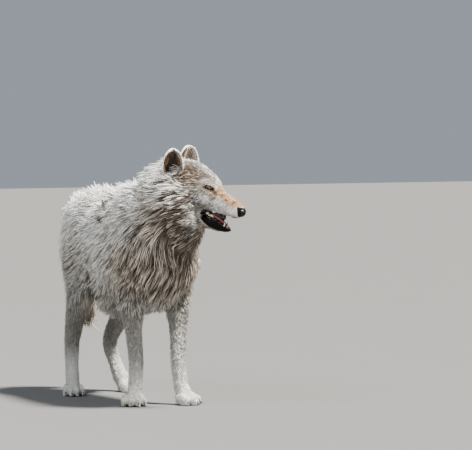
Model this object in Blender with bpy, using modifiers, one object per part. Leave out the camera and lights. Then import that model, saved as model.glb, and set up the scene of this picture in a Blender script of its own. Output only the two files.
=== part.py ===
"""A life-size arctic wolf, standing, with its head turned to its left and its mouth open.

Units are metres and +Z is up. The wolf faces -Y, and its left side is at +X. Every size includes the coat.
The flesh is lofted limb by limb, fused into one body, and then parted with thin cuts into its named pieces.
"""

import math
from collections import namedtuple

import bmesh
import bpy
from mathutils import Matrix, Vector

# ---------------------------------------------------------------- driving sizes
GAP = 0.0004  # clearance between neighbouring pieces
HEAD_VOXEL, HEAD_TRIANGLES = 0.0030, 1350  # grain of the fused head, and what it is thinned to
PAW_VOXEL, PAW_TRIANGLES = 0.0026, 360
BODY_VOXEL, BODY_TRIANGLES = 0.0048, 2280
SOFTENING = 6  # rounds of smoothing after a body is fused
RING_SIDES = 20
STEPS_PER_SPAN = 4

HEAD_YAW = 45.0  # degrees to the wolf's left
HEAD_PITCH = 16.0  # degrees down
NOSE_TIP = Vector((0.1944, -0.3010, 0.6895))

LEFT, RIGHT = 1, -1
SIDES = ((LEFT, "left"), (RIGHT, "right"))
UP = Vector((0.0, 0.0, 1.0))
AHEAD = Vector((0.0, -1.0, 0.0))

# Where each leg stands: the middle of the paw, the way it points (degrees outward), and its lower joint.
FORE_STANCE = {
    LEFT: {"paw": (0.094, -0.036), "toe_out": 33.0, "wrist": (0.073, 0.004)},
    RIGHT: {"paw": (-0.100, 0.000), "toe_out": 16.0, "wrist": (-0.072, 0.040)},
}
HIND_STANCE = {
    LEFT: {"paw": (0.118, 0.545), "toe_out": 26.0, "hock": (0.084, 0.634)},
    RIGHT: {"paw": (-0.128, 0.472), "toe_out": 14.0, "hock": (-0.101, 0.556)},
}
WRIST_HEIGHT = 0.135
ELBOW_HEIGHT = 0.400
HOCK_HEIGHT = 0.168
KNEE_HEIGHT = 0.385
SHANK_CUT_HEIGHT = 0.300
FORE_PAW = {"length": 0.108, "width": 0.086, "ankle": 0.064, "claw": 0.017}
HIND_PAW = {"length": 0.098, "width": 0.076, "ankle": 0.058, "claw": 0.015}
TOE_SPREAD = (-1.5, -0.5, 0.5, 1.5)

# Places in head space run forward, left and up from the tip of the nose.
EYE_RADIUS = 0.0120
EYE_PLACE = (-0.1440, 0.0325, 0.0400)
NOSE_PLACE, NOSE_RADII = (-0.0115, 0.0, -0.0085), (0.0125, 0.0165, 0.0135)

EAR_HEIGHT = 0.094
EAR_HALF_WIDTH = 0.037
EAR_WIDEST_AT = 0.28  # as a share of the height
EAR_NECK = 0.52  # width of the root, as a share of the widest
EAR_TIP_AT = 1.014  # the outline ends just beyond the last row, which stays round
EAR_WALL = 0.0080
EAR_ROOT = {LEFT: (-0.268, 0.068, 0.053), RIGHT: (-0.268, -0.073, 0.044)}
EAR_ROOT_SHARE = -0.22  # how far the ear goes on below its root, as a share of its height
EAR_LEAN = (-0.20, 0.09, 0.96)  # the way the left ear points
EAR_OPENING = {LEFT: (0.66, -0.75, 0.10), RIGHT: (0.50, -0.86, 0.10)}  # both listen to the right

NECK_CUT_AT = -0.278
MOUTH_CORNER_AT = -0.148
MOUTH_LINE_UP = -0.0530
CANINE_HEIGHT = 0.0165
TOOTH_ROOT = 0.004  # how deep a tooth sits in the gum

Slice = namedtuple("Slice", "name along top bottom half_width")
Ring = namedtuple("Ring", "centre side up down square")

TRUNK = (
    Slice("tail root", 0.672, 0.640, 0.520, 0.050),
    Slice("seat", 0.640, 0.703, 0.450, 0.110),
    Slice("pelvis", 0.575, 0.737, 0.400, 0.135),
    Slice("croup", 0.490, 0.744, 0.362, 0.138),
    Slice("loin", 0.390, 0.742, 0.325, 0.139),
    Slice("flank", 0.300, 0.742, 0.306, 0.148),
    Slice("ribs", 0.200, 0.748, 0.298, 0.158),
    Slice("girth", 0.100, 0.760, 0.316, 0.160),
    Slice("shoulder", 0.010, 0.764, 0.346, 0.155),
    Slice("breast", -0.070, 0.740, 0.382, 0.134),
    Slice("breast front", -0.128, 0.700, 0.428, 0.103),
    Slice("breast tip", -0.160, 0.630, 0.505, 0.054),
)
SKULL = (
    Slice("poll", -0.290, 0.088, -0.070, 0.080),
    Slice("crown", -0.255, 0.108, -0.092, 0.094),
    Slice("cheeks", -0.215, 0.113, -0.094, 0.097),
    Slice("temples", -0.180, 0.102, -0.074, 0.080),
    Slice("brow", -0.152, 0.081, -0.056, 0.058),
    Slice("eyes", -0.130, 0.058, -0.049, 0.045),
    Slice("stop", -0.110, 0.043, -0.046, 0.038),
    Slice("bridge", -0.082, 0.033, -0.043, 0.034),
    Slice("muzzle", -0.050, 0.022, -0.039, 0.030),
    Slice("lip", -0.022, 0.011, -0.037, 0.026),
    Slice("muzzle end", -0.008, 0.002, -0.031, 0.017),
)
JAW = (
    Slice("angle", -0.200, -0.045, -0.112, 0.060),
    Slice("gape", -0.152, -0.054, -0.108, 0.043),
    Slice("cheek tooth", -0.115, -0.060, -0.104, 0.031),
    Slice("lip", -0.078, -0.067, -0.103, 0.024),
    Slice("chin", -0.052, -0.073, -0.099, 0.020),
    Slice("chin tip", -0.035, -0.079, -0.091, 0.012),
)


def head_axes():
    """Forward, left and up of the head, as a rotation matrix whose columns they are."""
    yaw, pitch = math.radians(HEAD_YAW), math.radians(HEAD_PITCH)
    level = Vector((math.sin(yaw), -math.cos(yaw), 0.0))
    forward = level * math.cos(pitch) - UP * math.sin(pitch)
    left = Vector((math.cos(yaw), math.sin(yaw), 0.0))
    up = level * math.sin(pitch) + UP * math.cos(pitch)
    return Matrix((forward, left, up)).transposed()


HEAD = Matrix.Translation(NOSE_TIP) @ head_axes().to_4x4()
HEAD_TURN = HEAD.to_3x3()


def on_head(forward, left, up):
    """A point in head space, measured from the tip of the nose, as a point of the wolf."""
    return HEAD @ Vector((forward, left, up))


def on_head_midline(forward, up):
    return on_head(forward, 0.0, up)


def on_body_midline(along, up):
    return Vector((0.0, along, up))


# ---------------------------------------------------------------- tools
def clear_scene():
    for thing in list(bpy.data.objects):
        bpy.data.objects.remove(thing, do_unlink=True)


def collection_named(name):
    made = bpy.data.collections.new(name)
    bpy.context.scene.collection.children.link(made)
    return made


def material_named(name, colour, roughness):
    made = bpy.data.materials.new(name)
    made.use_nodes = True
    shader = made.node_tree.nodes["Principled BSDF"]
    shader.inputs["Base Color"].default_value = (*colour, 1.0)
    shader.inputs["Roughness"].default_value = roughness
    shader.inputs["Metallic"].default_value = 0.0
    return made


def object_from(builder, name):
    """Turns a bmesh into a working object with outward faces, whose quads always fold the same way."""
    bmesh.ops.recalc_face_normals(builder, faces=builder.faces)
    bmesh.ops.triangulate(builder, faces=builder.faces, quad_method="FIXED")
    mesh = bpy.data.meshes.new(name)
    builder.to_mesh(mesh)
    builder.free()
    made = bpy.data.objects.new(name, mesh)
    WORK.objects.link(made)
    return made


def triangulate(thing):
    """Fixes the way its uneven quads fold, so that a grown copy folds alike."""
    builder = bmesh.new()
    builder.from_mesh(thing.data)
    bmesh.ops.triangulate(builder, faces=builder.faces, quad_method="FIXED")
    builder.to_mesh(thing.data)
    builder.free()


def copy_of(thing):
    made = thing.copy()
    made.data = thing.data.copy()
    WORK.objects.link(made)
    return made


def discard(*things):
    for thing in things:
        bpy.data.objects.remove(thing, do_unlink=True)


def apply_modifiers(thing):
    """Bakes the modifiers of an object into its mesh."""
    graph = bpy.context.evaluated_depsgraph_get()
    baked = bpy.data.meshes.new_from_object(thing.evaluated_get(graph))
    thing.modifiers.clear()
    thing.data = baked


def combine(thing, other, operation):
    """Joins, cuts or keeps the overlap of two closed meshes, and uses up the second."""
    modifier = thing.modifiers.new(operation.title(), "BOOLEAN")
    modifier.operation = operation
    modifier.solver = "EXACT"
    modifier.object = other
    apply_modifiers(thing)
    discard(other)


def part_off(thing, region):
    """Cuts a piece out of a body along a region, and leaves a gap between the two."""
    piece = copy_of(thing)
    combine(piece, region(0.0), "INTERSECT")
    combine(thing, region(GAP), "DIFFERENCE")
    keep_main_body(thing)
    keep_main_body(piece)
    return piece


def make_room(thing, guest):
    """Cuts the grown shape of a piece out of the one that holds it."""
    cutter = copy_of(guest)
    grow = cutter.modifiers.new("Grow", "DISPLACE")
    grow.strength = GAP
    grow.mid_level = 0.0
    apply_modifiers(cutter)
    combine(thing, cutter, "DIFFERENCE")
    keep_main_body(thing)


def islands(builder):
    """The faces of each loose part."""
    unseen = set(builder.faces)
    found = []
    while unseen:
        waiting = [unseen.pop()]
        island = list(waiting)
        while waiting:
            face = waiting.pop()
            for edge in face.edges:
                for near in edge.link_faces:
                    if near in unseen:
                        unseen.remove(near)
                        waiting.append(near)
                        island.append(near)
        found.append(island)
    return found


def keep_main_body(thing):
    """Drops the crumbs that a cut can leave."""
    builder = bmesh.new()
    builder.from_mesh(thing.data)
    pieces = sorted(islands(builder), key=lambda island: -sum(face.calc_area() for face in island))
    crumbs = [face for island in pieces[1:] for face in island]
    bmesh.ops.delete(builder, geom=crumbs, context="FACES")
    loose = [vert for vert in builder.verts if not vert.link_faces]
    bmesh.ops.delete(builder, geom=loose, context="VERTS")
    builder.to_mesh(thing.data)
    builder.free()


def merged(pieces, name):
    """One object out of many closed shapes that may overlap or lie apart."""
    builder = bmesh.new()
    for piece in pieces:
        builder.from_mesh(piece.data)
    discard(*pieces)
    return object_from(builder, name)


def fused(flesh, name, voxel, triangles):
    """One closed skin round overlapping shapes, softened and thinned."""
    body = merged(flesh, name)
    fuse = body.modifiers.new("Fuse", "REMESH")
    fuse.mode = "VOXEL"
    fuse.voxel_size = voxel
    soften = body.modifiers.new("Soften", "SMOOTH")
    soften.factor = 0.5
    soften.iterations = SOFTENING
    apply_modifiers(body)
    body.data.calc_loop_triangles()
    thin = body.modifiers.new("Thin", "DECIMATE")
    thin.ratio = triangles / len(body.data.loop_triangles)
    apply_modifiers(body)
    keep_main_body(body)
    return body


# ---------------------------------------------------------------- shapes
def spline(before, start, end, after, share):
    """Catmull-Rom between start and end, for numbers and vectors alike."""
    square, cube = share * share, share * share * share
    return (
        start * 2.0
        + (end - before) * share
        + (before * 2.0 - start * 5.0 + end * 4.0 - after) * square
        + (start * 3.0 - before - end * 3.0 + after) * cube
    ) * 0.5


def smoothed(rings):
    """The same loft with more rings, on smooth curves through the given ones."""
    found = []
    last = len(rings) - 1
    for i in range(last):
        around = [rings[max(i - 1, 0)], rings[i], rings[i + 1], rings[min(i + 2, last)]]
        for step in range(STEPS_PER_SPAN):
            values = [spline(*field, step / STEPS_PER_SPAN) for field in zip(*around)]
            found.append(Ring(*values))
    found.append(rings[-1])
    return found


def ring_points(ring, tangent, reference, sides):
    side = tangent.cross(reference).normalized()
    up = side.cross(tangent).normalized()
    points = []
    for k in range(sides):
        angle = math.tau * k / sides
        across, rise = math.cos(angle), math.sin(angle)
        across = math.copysign(abs(across) ** (1.0 / ring.square), across)
        rise = math.copysign(abs(rise) ** (1.0 / ring.square), rise)
        height = ring.up if rise > 0.0 else ring.down
        points.append(ring.centre + side * (across * ring.side) + up * (rise * height))
    return points


def loft(name, rings, reference=UP, sides=RING_SIDES):
    """A closed tube through rings of unlike size and shape."""
    builder = bmesh.new()
    loops = []
    for i, ring in enumerate(rings):
        ahead = rings[min(i + 1, len(rings) - 1)].centre
        tangent = (ahead - rings[max(i - 1, 0)].centre).normalized()
        points = ring_points(ring, tangent, reference, sides)
        loops.append([builder.verts.new(point) for point in points])
    for low, high in zip(loops, loops[1:]):
        for k in range(sides):
            after = (k + 1) % sides
            builder.faces.new((low[k], low[after], high[after], high[k]))
    builder.faces.new(loops[0])
    builder.faces.new(loops[-1])
    return object_from(builder, name)


def placed(builder, name, centre, axes, sizes):
    """Stretches a unit shape along the columns of a rotation matrix, and sets it at its centre."""
    place = Matrix.Translation(centre) @ axes.to_4x4() @ Matrix.Diagonal((*sizes, 1.0))
    bmesh.ops.transform(builder, matrix=place, verts=builder.verts)
    return object_from(builder, name)


def ellipsoid(name, centre, axes, radii, segments=24, rings=14):
    builder = bmesh.new()
    bmesh.ops.create_uvsphere(builder, u_segments=segments, v_segments=rings, radius=1.0)
    return placed(builder, name, centre, axes, radii)


def block(name, centre, axes, half_sides):
    builder = bmesh.new()
    bmesh.ops.create_cube(builder, size=2.0)
    return placed(builder, name, centre, axes, half_sides)


def yawed(degrees):
    return Matrix.Rotation(math.radians(degrees), 3, "Z")


def facing(direction, reference=UP):
    """A rotation whose first column points along direction."""
    forward = Vector(direction).normalized()
    left = reference.cross(forward).normalized()
    return Matrix((forward, left, forward.cross(left))).transposed()


def rings_of(slices, place, square=1.0, middle_share=0.5):
    """Rings for slices of a form that is the same on both sides."""
    found = []
    for part in slices:
        middle = part.bottom + (part.top - part.bottom) * middle_share
        centre = place(part.along, middle)
        found.append(Ring(centre, part.half_width, part.top - middle, middle - part.bottom, square))
    return found


# ---------------------------------------------------------------- flesh
def trunk():
    return loft("trunk", smoothed(rings_of(TRUNK, on_body_midline, 1.08, 0.56)))


def neck():
    """From deep in the shoulders, up and round to the back of the head."""
    nape = on_head(-0.285, 0.000, 0.000)
    base = Vector((0.008, -0.070, 0.690))
    rings = [
        Ring(Vector((0.000, 0.110, 0.600)), 0.100, 0.120, 0.140, 1.0),
        Ring(Vector((0.000, 0.030, 0.625)), 0.140, 0.160, 0.180, 1.0),
        Ring(Vector((0.005, -0.050, 0.665)), 0.136, 0.147, 0.180, 1.0),
        Ring(nape.lerp(base, 0.45), 0.133, 0.130, 0.158, 1.0),
        Ring(nape, 0.116, 0.110, 0.132, 1.0),
        Ring(on_head(-0.245, 0.0, 0.002), 0.101, 0.096, 0.112, 1.0),
        Ring(on_head(-0.210, 0.0, 0.004), 0.080, 0.074, 0.086, 1.0),
        Ring(on_head(-0.180, 0.0, 0.004), 0.040, 0.040, 0.046, 1.0),
    ]
    return loft("neck", smoothed(rings))


def skull():
    """The head without its lower jaw, from the poll to the end of the muzzle."""
    return loft("skull", smoothed(rings_of(SKULL, on_head_midline, 1.12)), HEAD_TURN.col[2])


def jaw():
    return loft("jaw", smoothed(rings_of(JAW, on_head_midline, 1.1)), HEAD_TURN.col[2])


def head_bulge(name, side, place, yaw, radii):
    centre = on_head(place[0], side * place[1], place[2])
    return ellipsoid(name, centre, HEAD_TURN @ yawed(-side * yaw), radii)


def brows_and_cheeks(side):
    """The bulges over an eye, along a cheekbone, of the ruff behind the jaw and ear, and of the lips."""
    return [
        head_bulge("brow", side, (-0.153, 0.028, 0.051), 22.0, (0.029, 0.018, 0.019)),
        head_bulge("cheekbone", side, (-0.152, 0.044, -0.004), 26.0, (0.050, 0.017, 0.024)),
        head_bulge("ruff", side, (-0.222, 0.074, -0.046), 24.0, (0.058, 0.042, 0.058)),
        head_bulge("nape", side, (-0.270, 0.072, 0.004), 8.0, (0.060, 0.040, 0.064)),
        head_bulge("lip pad", side, (-0.042, 0.0165, -0.022), 10.0, (0.036, 0.0135, 0.0165)),
    ]


def eye_hollow(side):
    centre = on_head(EYE_PLACE[0] + 0.008, side * (EYE_PLACE[1] + 0.0185), EYE_PLACE[2])
    return ellipsoid("eye_hollow", centre, HEAD_TURN @ yawed(-side * 34.0), (0.024, 0.0135, 0.0115), 12, 8)


def head_flesh():
    pieces = [skull(), jaw(), neck()]
    for side, _ in SIDES:
        pieces += brows_and_cheeks(side)
    return pieces


def foreleg(side):
    stance = FORE_STANCE[side]
    wrist = Vector((*stance["wrist"], WRIST_HEIGHT))
    elbow = Vector((side * 0.086, 0.052, ELBOW_HEIGHT))
    forearm = elbow.lerp(wrist, 0.50) + Vector((side * 0.002, -0.004, 0.0))
    heel = Vector((*stance["paw"], 0.045)).lerp(Vector((wrist.x, wrist.y, 0.045)), 0.62)
    rings = [
        Ring(Vector((side * 0.070, 0.060, 0.690)), 0.050, 0.070, 0.070, 1.0),
        Ring(Vector((side * 0.091, 0.014, 0.600)), 0.062, 0.094, 0.098, 1.0),
        Ring(Vector((side * 0.096, 0.018, 0.510)), 0.058, 0.088, 0.094, 1.0),
        Ring(elbow + Vector((0.0, -0.004, 0.030)), 0.057, 0.068, 0.070, 1.0),
        Ring(elbow + Vector((0.0, -0.012, -0.050)), 0.050, 0.052, 0.058, 1.0),
        Ring(forearm, 0.0335, 0.035, 0.040, 1.0),
        Ring(wrist + Vector((0.0, 0.002, 0.035)), 0.0290, 0.029, 0.032, 1.0),
        Ring(wrist, 0.0285, 0.030, 0.031, 1.0),
        Ring(wrist.lerp(heel, 0.5), 0.0275, 0.027, 0.030, 1.0),
        Ring(heel, 0.030, 0.028, 0.028, 1.0),
        Ring(heel - Vector((0.0, 0.0, 0.030)), 0.022, 0.020, 0.020, 1.0),
    ]
    return loft("foreleg", smoothed(rings), AHEAD)


def hindleg(side):
    stance = HIND_STANCE[side]
    hock = Vector((*stance["hock"], HOCK_HEIGHT))
    hip = Vector((side * 0.074, 0.545, 0.590))
    knee = Vector((side * 0.108, hock.y * 0.35 + 0.250, KNEE_HEIGHT))
    shank = knee.lerp(hock, 0.52) + Vector((0.0, 0.012, 0.0))
    heel = Vector((*stance["paw"], 0.040)).lerp(Vector((hock.x, hock.y, 0.040)), 0.42)
    rings = [
        Ring(hip + Vector((-side * 0.010, 0.0, 0.060)), 0.056, 0.080, 0.075, 1.0),
        Ring(hip, 0.064, 0.112, 0.092, 1.0),
        Ring(hip.lerp(knee, 0.45) + Vector((0.0, 0.012, 0.0)), 0.058, 0.112, 0.100, 1.0),
        Ring(knee + Vector((-side * 0.008, 0.026, 0.030)), 0.054, 0.086, 0.088, 1.0),
        Ring(knee.lerp(shank, 0.45), 0.046, 0.060, 0.064, 1.0),
        Ring(shank, 0.037, 0.044, 0.046, 1.0),
        Ring(hock + Vector((0.0, -0.010, 0.030)), 0.030, 0.032, 0.038, 1.0),
        Ring(hock + Vector((0.0, -0.006, -0.012)), 0.0285, 0.029, 0.035, 1.0),
        Ring(hock.lerp(heel, 0.5), 0.0255, 0.026, 0.028, 1.0),
        Ring(heel, 0.028, 0.027, 0.027, 1.0),
        Ring(heel - Vector((0.0, 0.0, 0.028)), 0.020, 0.018, 0.018, 1.0),
    ]
    return loft("hindleg", smoothed(rings), AHEAD)


TAIL = (
    Ring(Vector((0.000, 0.560, 0.670)), 0.030, 0.030, 0.030, 1.0),
    Ring(Vector((0.000, 0.650, 0.650)), 0.042, 0.040, 0.048, 1.0),
    Ring(Vector((0.006, 0.708, 0.590)), 0.046, 0.042, 0.046, 1.0),
    Ring(Vector((0.016, 0.732, 0.490)), 0.055, 0.052, 0.052, 1.0),
    Ring(Vector((0.026, 0.738, 0.390)), 0.056, 0.052, 0.052, 1.0),
    Ring(Vector((0.036, 0.742, 0.300)), 0.040, 0.038, 0.038, 1.0),
    Ring(Vector((0.042, 0.746, 0.244)), 0.010, 0.010, 0.010, 1.0),
)


def tail():
    """Hanging at ease, a little behind the legs."""
    return loft("tail", smoothed(TAIL), Vector((0.0, 1.0, 0.0)))


# ---------------------------------------------------------------- paws and claws
def paw_place(stance, side):
    """Forward, left and up of a paw on the floor, with its middle as the origin."""
    heading = math.radians(stance["toe_out"]) * side
    forward = Vector((math.sin(heading), -math.cos(heading), 0.0))
    left = Vector((math.cos(heading), math.sin(heading), 0.0))
    axes = Matrix((forward, left, UP)).transposed()
    return Matrix.Translation(Vector((*stance["paw"], 0.0))) @ axes.to_4x4()


def toe_tip(spread, size):
    """The front of a toe, in paw space: the middle two reach furthest."""
    reach = size["length"] * (0.40 if abs(spread) < 1.0 else 0.25)
    return Vector((reach, spread * size["width"] * 0.27, 0.0))


def paw(place, size):
    axes = place.to_3x3()
    length, width = size["length"], size["width"]
    pad_radii = (length * 0.38, width * 0.40, 0.030)
    made = [ellipsoid("pad", place @ Vector((-length * 0.12, 0.0, 0.024)), axes, pad_radii)]
    for spread in TOE_SPREAD:
        centre = place @ (toe_tip(spread, size) + Vector((-length * 0.19, 0.0, 0.0175)))
        radii = (length * 0.235, width * 0.142, 0.0205)
        made.append(ellipsoid("toe", centre, axes @ yawed(spread * 7.0), radii))
    return made


def claws(place, size):
    """Four curved, tapering claws whose roots lie in the toes."""
    made = []
    for spread in TOE_SPREAD:
        root = toe_tip(spread, size) + Vector((-0.010, 0.0, 0.0165))
        rings = []
        for share in (0.0, 0.5, 1.0):
            reach = size["claw"] * share * 1.25
            droop = size["claw"] * share * share * 0.42
            centre = place @ (root + Vector((reach, spread * 0.0012 * share, -droop)))
            thick = 0.0040 * (1.0 - share) ** 0.75 + 0.0007
            rings.append(Ring(centre, thick * 0.72, thick, thick, 1.0))
        made.append(loft("claw", rings, UP, 5))
    return merged(made, "claws")


# ---------------------------------------------------------------- ears, eyes, nose, tongue and teeth
def mirrored(direction, side):
    return Vector((direction[0], side * direction[1], direction[2]))


def ear_outline(share):
    """Half the ear's width at a share of its height: narrow at the root, and round at the tip."""
    flare = min((share - EAR_ROOT_SHARE) / (EAR_WIDEST_AT - EAR_ROOT_SHARE), 1.0)
    flare = flare * flare * (3.0 - 2.0 * flare)
    above = max(share - EAR_WIDEST_AT, 0.0) / (EAR_TIP_AT - EAR_WIDEST_AT)
    return (EAR_NECK + (1.0 - EAR_NECK) * flare) * math.sqrt(1.0 - above**1.9)


def ear(side):
    """A cupped sheet whose root lies in the crown."""
    rise = mirrored(EAR_LEAN, side).normalized()
    opening = Vector(EAR_OPENING[side])
    opening = (opening - rise * opening.dot(rise)).normalized()
    across = rise.cross(opening)
    rows, columns, curl = 8, 9, 1.35
    builder = bmesh.new()
    grid = []
    for i in range(rows):
        share = EAR_ROOT_SHARE + (1.0 - EAR_ROOT_SHARE) * math.sin(math.pi * 0.5 * i / (rows - 1))
        half_width = EAR_HALF_WIDTH * ear_outline(share)
        cup = 0.030 - 0.017 * max(share, 0.0)
        row = []
        for j in range(columns):
            turn = -1.0 + 2.0 * j / (columns - 1)
            sideways = math.sin(turn * curl) / math.sin(curl) * half_width
            depth = (math.cos(turn * curl) - math.cos(curl)) / (1.0 - math.cos(curl)) * cup
            height = EAR_HEIGHT * share - 0.004 * turn * turn * max(share, 0.0)
            local = Vector(EAR_ROOT[side]) + rise * height + across * sideways - opening * depth
            row.append(builder.verts.new(on_head(*local)))
        grid.append(row)
    for low, high in zip(grid, grid[1:]):
        for j in range(columns - 1):
            builder.faces.new((low[j], low[j + 1], high[j + 1], high[j]))
    sheet = object_from(builder, "ear")
    wall = sheet.modifiers.new("Wall", "SOLIDIFY")
    wall.thickness = EAR_WALL
    wall.offset = 0.0
    apply_modifiers(sheet)
    triangulate(sheet)
    return sheet


def eyeball(side, grow=0.0):
    radius = EYE_RADIUS + grow
    centre = on_head(*mirrored(EYE_PLACE, side))
    return ellipsoid("eye", centre, HEAD_TURN @ yawed(side * 45.0), (radius,) * 3, 12, 8)


def nose_pad(grow=0.0):
    radii = [radius + grow for radius in NOSE_RADII]
    return ellipsoid("nose", on_head(*NOSE_PLACE), HEAD_TURN, radii, 12, 8)


def tongue():
    rings = [
        Ring(on_head(-0.132, 0.0, -0.060), 0.0150, 0.0050, 0.0060, 1.0),
        Ring(on_head(-0.110, 0.0, -0.061), 0.0165, 0.0058, 0.0060, 1.0),
        Ring(on_head(-0.085, 0.0, -0.066), 0.0165, 0.0052, 0.0050, 1.0),
        Ring(on_head(-0.064, 0.0, -0.071), 0.0140, 0.0042, 0.0042, 1.0),
        Ring(on_head(-0.053, 0.0, -0.074), 0.0080, 0.0024, 0.0026, 1.0),
    ]
    return loft("tongue", rings, HEAD_TURN.col[2], 10)


def tooth(root, tip, width, thickness):
    """A cone, flattened across, from its root in the gum to its tip."""
    root, tip = Vector(root), Vector(tip)
    middle = root.lerp(tip, 0.5)
    builder = bmesh.new()
    bmesh.ops.create_cone(
        builder, cap_ends=True, segments=5, radius1=1.0, radius2=0.22, depth=2.0
    )
    rise = (tip - root).normalized()
    left = rise.cross(Vector((1.0, 0.0, 0.0))).normalized()
    axes = HEAD_TURN @ Matrix((left.cross(rise), left, rise)).transposed()
    sizes = (width * 0.5, thickness * 0.5, (tip - root).length * 0.5)
    return placed(builder, "tooth", on_head(*middle), axes, sizes)


def teeth(front, gum_up, rise):
    """The incisors, canines and cheek teeth of one jaw. They rise up (1) or down (-1) from the gum."""

    def standing(along, across, height, width, thickness):
        gum = gum_up(along)
        root = (along, across, gum - rise * TOOTH_ROOT)
        return tooth(root, (along, across, gum + rise * height), width, thickness)

    made = []
    for i in range(6):
        across = (i - 2.5) * 0.0042
        made.append(standing(front - abs(across) * 0.30, across, 0.0060, 0.0042, 0.0036))
    for side, _ in SIDES:
        made.append(standing(front - 0.012, side * 0.0155, CANINE_HEIGHT, 0.0090, 0.0070))
        for k in range(4):
            across = side * (0.0165 + 0.0016 * k)
            height = 0.0065 + 0.0010 * k
            made.append(standing(front - 0.032 - 0.0160 * k, across, height, 0.0115, 0.0050))
    return merged(made, "teeth")


def upper_gum(along):
    """The height of the upper gum line at a place along the muzzle."""
    return -0.0385 + 0.055 * (along + 0.030)


def lower_gum(along):
    return -0.0765 - 0.235 * (along + 0.040)


# ---------------------------------------------------------------- where the body is parted
def head_region(grow):
    """All that lies ahead of a plane behind the ears and the angle of the jaw."""
    normal = HEAD_TURN @ Vector((0.878, 0.0, 0.479))
    start = on_head(NECK_CUT_AT, 0.0, 0.0)
    depth = 0.30 + grow
    return block("head_region", start + normal * 0.30, facing(normal), (depth, depth, depth))


def neck_region(grow):
    normal = Vector((0.0, -0.68, 0.73))
    start = Vector((0.0, -0.045, 0.660))
    depth = 0.30 + grow
    return block("neck_region", start + normal * 0.30, facing(normal), (depth, depth, depth))


def jaw_region(grow):
    half = Vector((-MOUTH_CORNER_AT * 0.5, 0.120, 0.100))
    centre = on_head(-half.x, 0.0, MOUTH_LINE_UP - half.z)
    return block("jaw_region", centre, HEAD_TURN, half + Vector((grow, grow, grow)))


def low_region(low_y, high_y, side, height, grow):
    """Everything on one side of the wolf, below a height, between two places along it."""
    half = Vector((0.140, (high_y - low_y) * 0.5, height * 0.5 + 0.020))
    centre = Vector((side * (half.x + 0.002), (low_y + high_y) * 0.5, height - half.z))
    return block("low_region", centre, Matrix.Identity(3), half + Vector((grow, grow, grow)))


def domed_region(centre, radii, top, grow):
    """An upright elliptical post with a domed top, for a limb and the muscle that carries it."""
    wide, deep = radii
    base = Vector((centre.x, centre.y, -0.05))
    rings = [Ring(base, wide + grow, deep + grow, deep + grow, 1.0)]
    shoulder = top - wide * 1.4
    for degrees in range(0, 91, 30):
        turn = math.radians(degrees)
        share = max(math.cos(turn), 0.03)
        height = shoulder + (top - shoulder) * math.sin(turn) + grow
        reach = deep * share + grow
        rings.append(Ring(Vector((centre.x, centre.y, height)), wide * share + grow, reach, reach, 1.0))
    return loft("domed_region", rings, AHEAD, 18)


def tail_region(grow):
    """The tail from its root, with room all round it."""
    root = (TAIL[2].centre - TAIL[1].centre).normalized()
    extra = 0.014 + grow
    rings = []
    for ring in TAIL[1:]:
        rings.append(Ring(ring.centre, ring.side + extra, ring.up + extra, ring.down + extra, 1.0))
    rings[0] = rings[0]._replace(centre=rings[0].centre - root * grow)
    return loft("tail_region", rings, Vector((0.0, 1.0, 0.0)), 14)


def floor_block():
    return block("below_floor", Vector((0.0, 0.2, -0.1)), Matrix.Identity(3), (1.0, 1.0, 0.1))


# ---------------------------------------------------------------- the pieces
def finish(thing, name, material, origin=None):
    """Names a piece, shades it, and puts its origin where it joins its neighbour."""
    thing.name = name
    thing.data.name = name
    thing.data.materials.clear()
    thing.data.materials.append(material)
    thing.data.shade_smooth()
    thing.data.set_sharp_from_angle(angle=math.radians(55.0))
    WOLF.objects.link(thing)
    WORK.objects.unlink(thing)
    if origin is not None:
        thing.data.transform(Matrix.Translation(-origin))
        thing.location = origin
    return thing


def make_head():
    head = fused(head_flesh(), "head", HEAD_VOXEL, HEAD_TRIANGLES)
    combine(head, head_region(0.0), "INTERSECT")
    for side, _ in SIDES:
        combine(head, eye_hollow(side), "DIFFERENCE")
    keep_main_body(head)
    lower = part_off(head, jaw_region)
    combine(head, teeth(-0.024, upper_gum, -1.0), "UNION")
    combine(lower, teeth(-0.044, lower_gum, 1.0), "UNION")
    licking = tongue()
    make_room(head, licking)
    make_room(lower, licking)
    for side, word in SIDES:
        combine(head, eyeball(side, GAP), "DIFFERENCE")
        finish(eyeball(side), f"eye_{word}", AMBER, on_head(*mirrored(EYE_PLACE, side)))
    combine(head, nose_pad(GAP), "DIFFERENCE")
    keep_main_body(head)
    keep_main_body(lower)
    finish(nose_pad(), "nose", BLACK, on_head(*NOSE_PLACE))
    finish(licking, "tongue", PINK, on_head(-0.132, 0.0, -0.060))
    finish(lower, "lower_jaw", CREAM, on_head(MOUTH_CORNER_AT, 0.0, MOUTH_LINE_UP))
    return head


def make_paw(name, leg, stance, side, size):
    place = paw_place(stance, side)
    foot = fused([leg] + paw(place, size), name, PAW_VOXEL, PAW_TRIANGLES)
    region = low_region(stance["paw"][1] - 0.12, stance["paw"][1] + 0.12, side, size["ankle"], 0.0)
    combine(foot, region, "INTERSECT")
    combine(foot, claws(place, size), "UNION")
    combine(foot, floor_block(), "DIFFERENCE")
    keep_main_body(foot)
    return finish(foot, name, CREAM, Vector((*stance["paw"], size["ankle"])))


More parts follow.
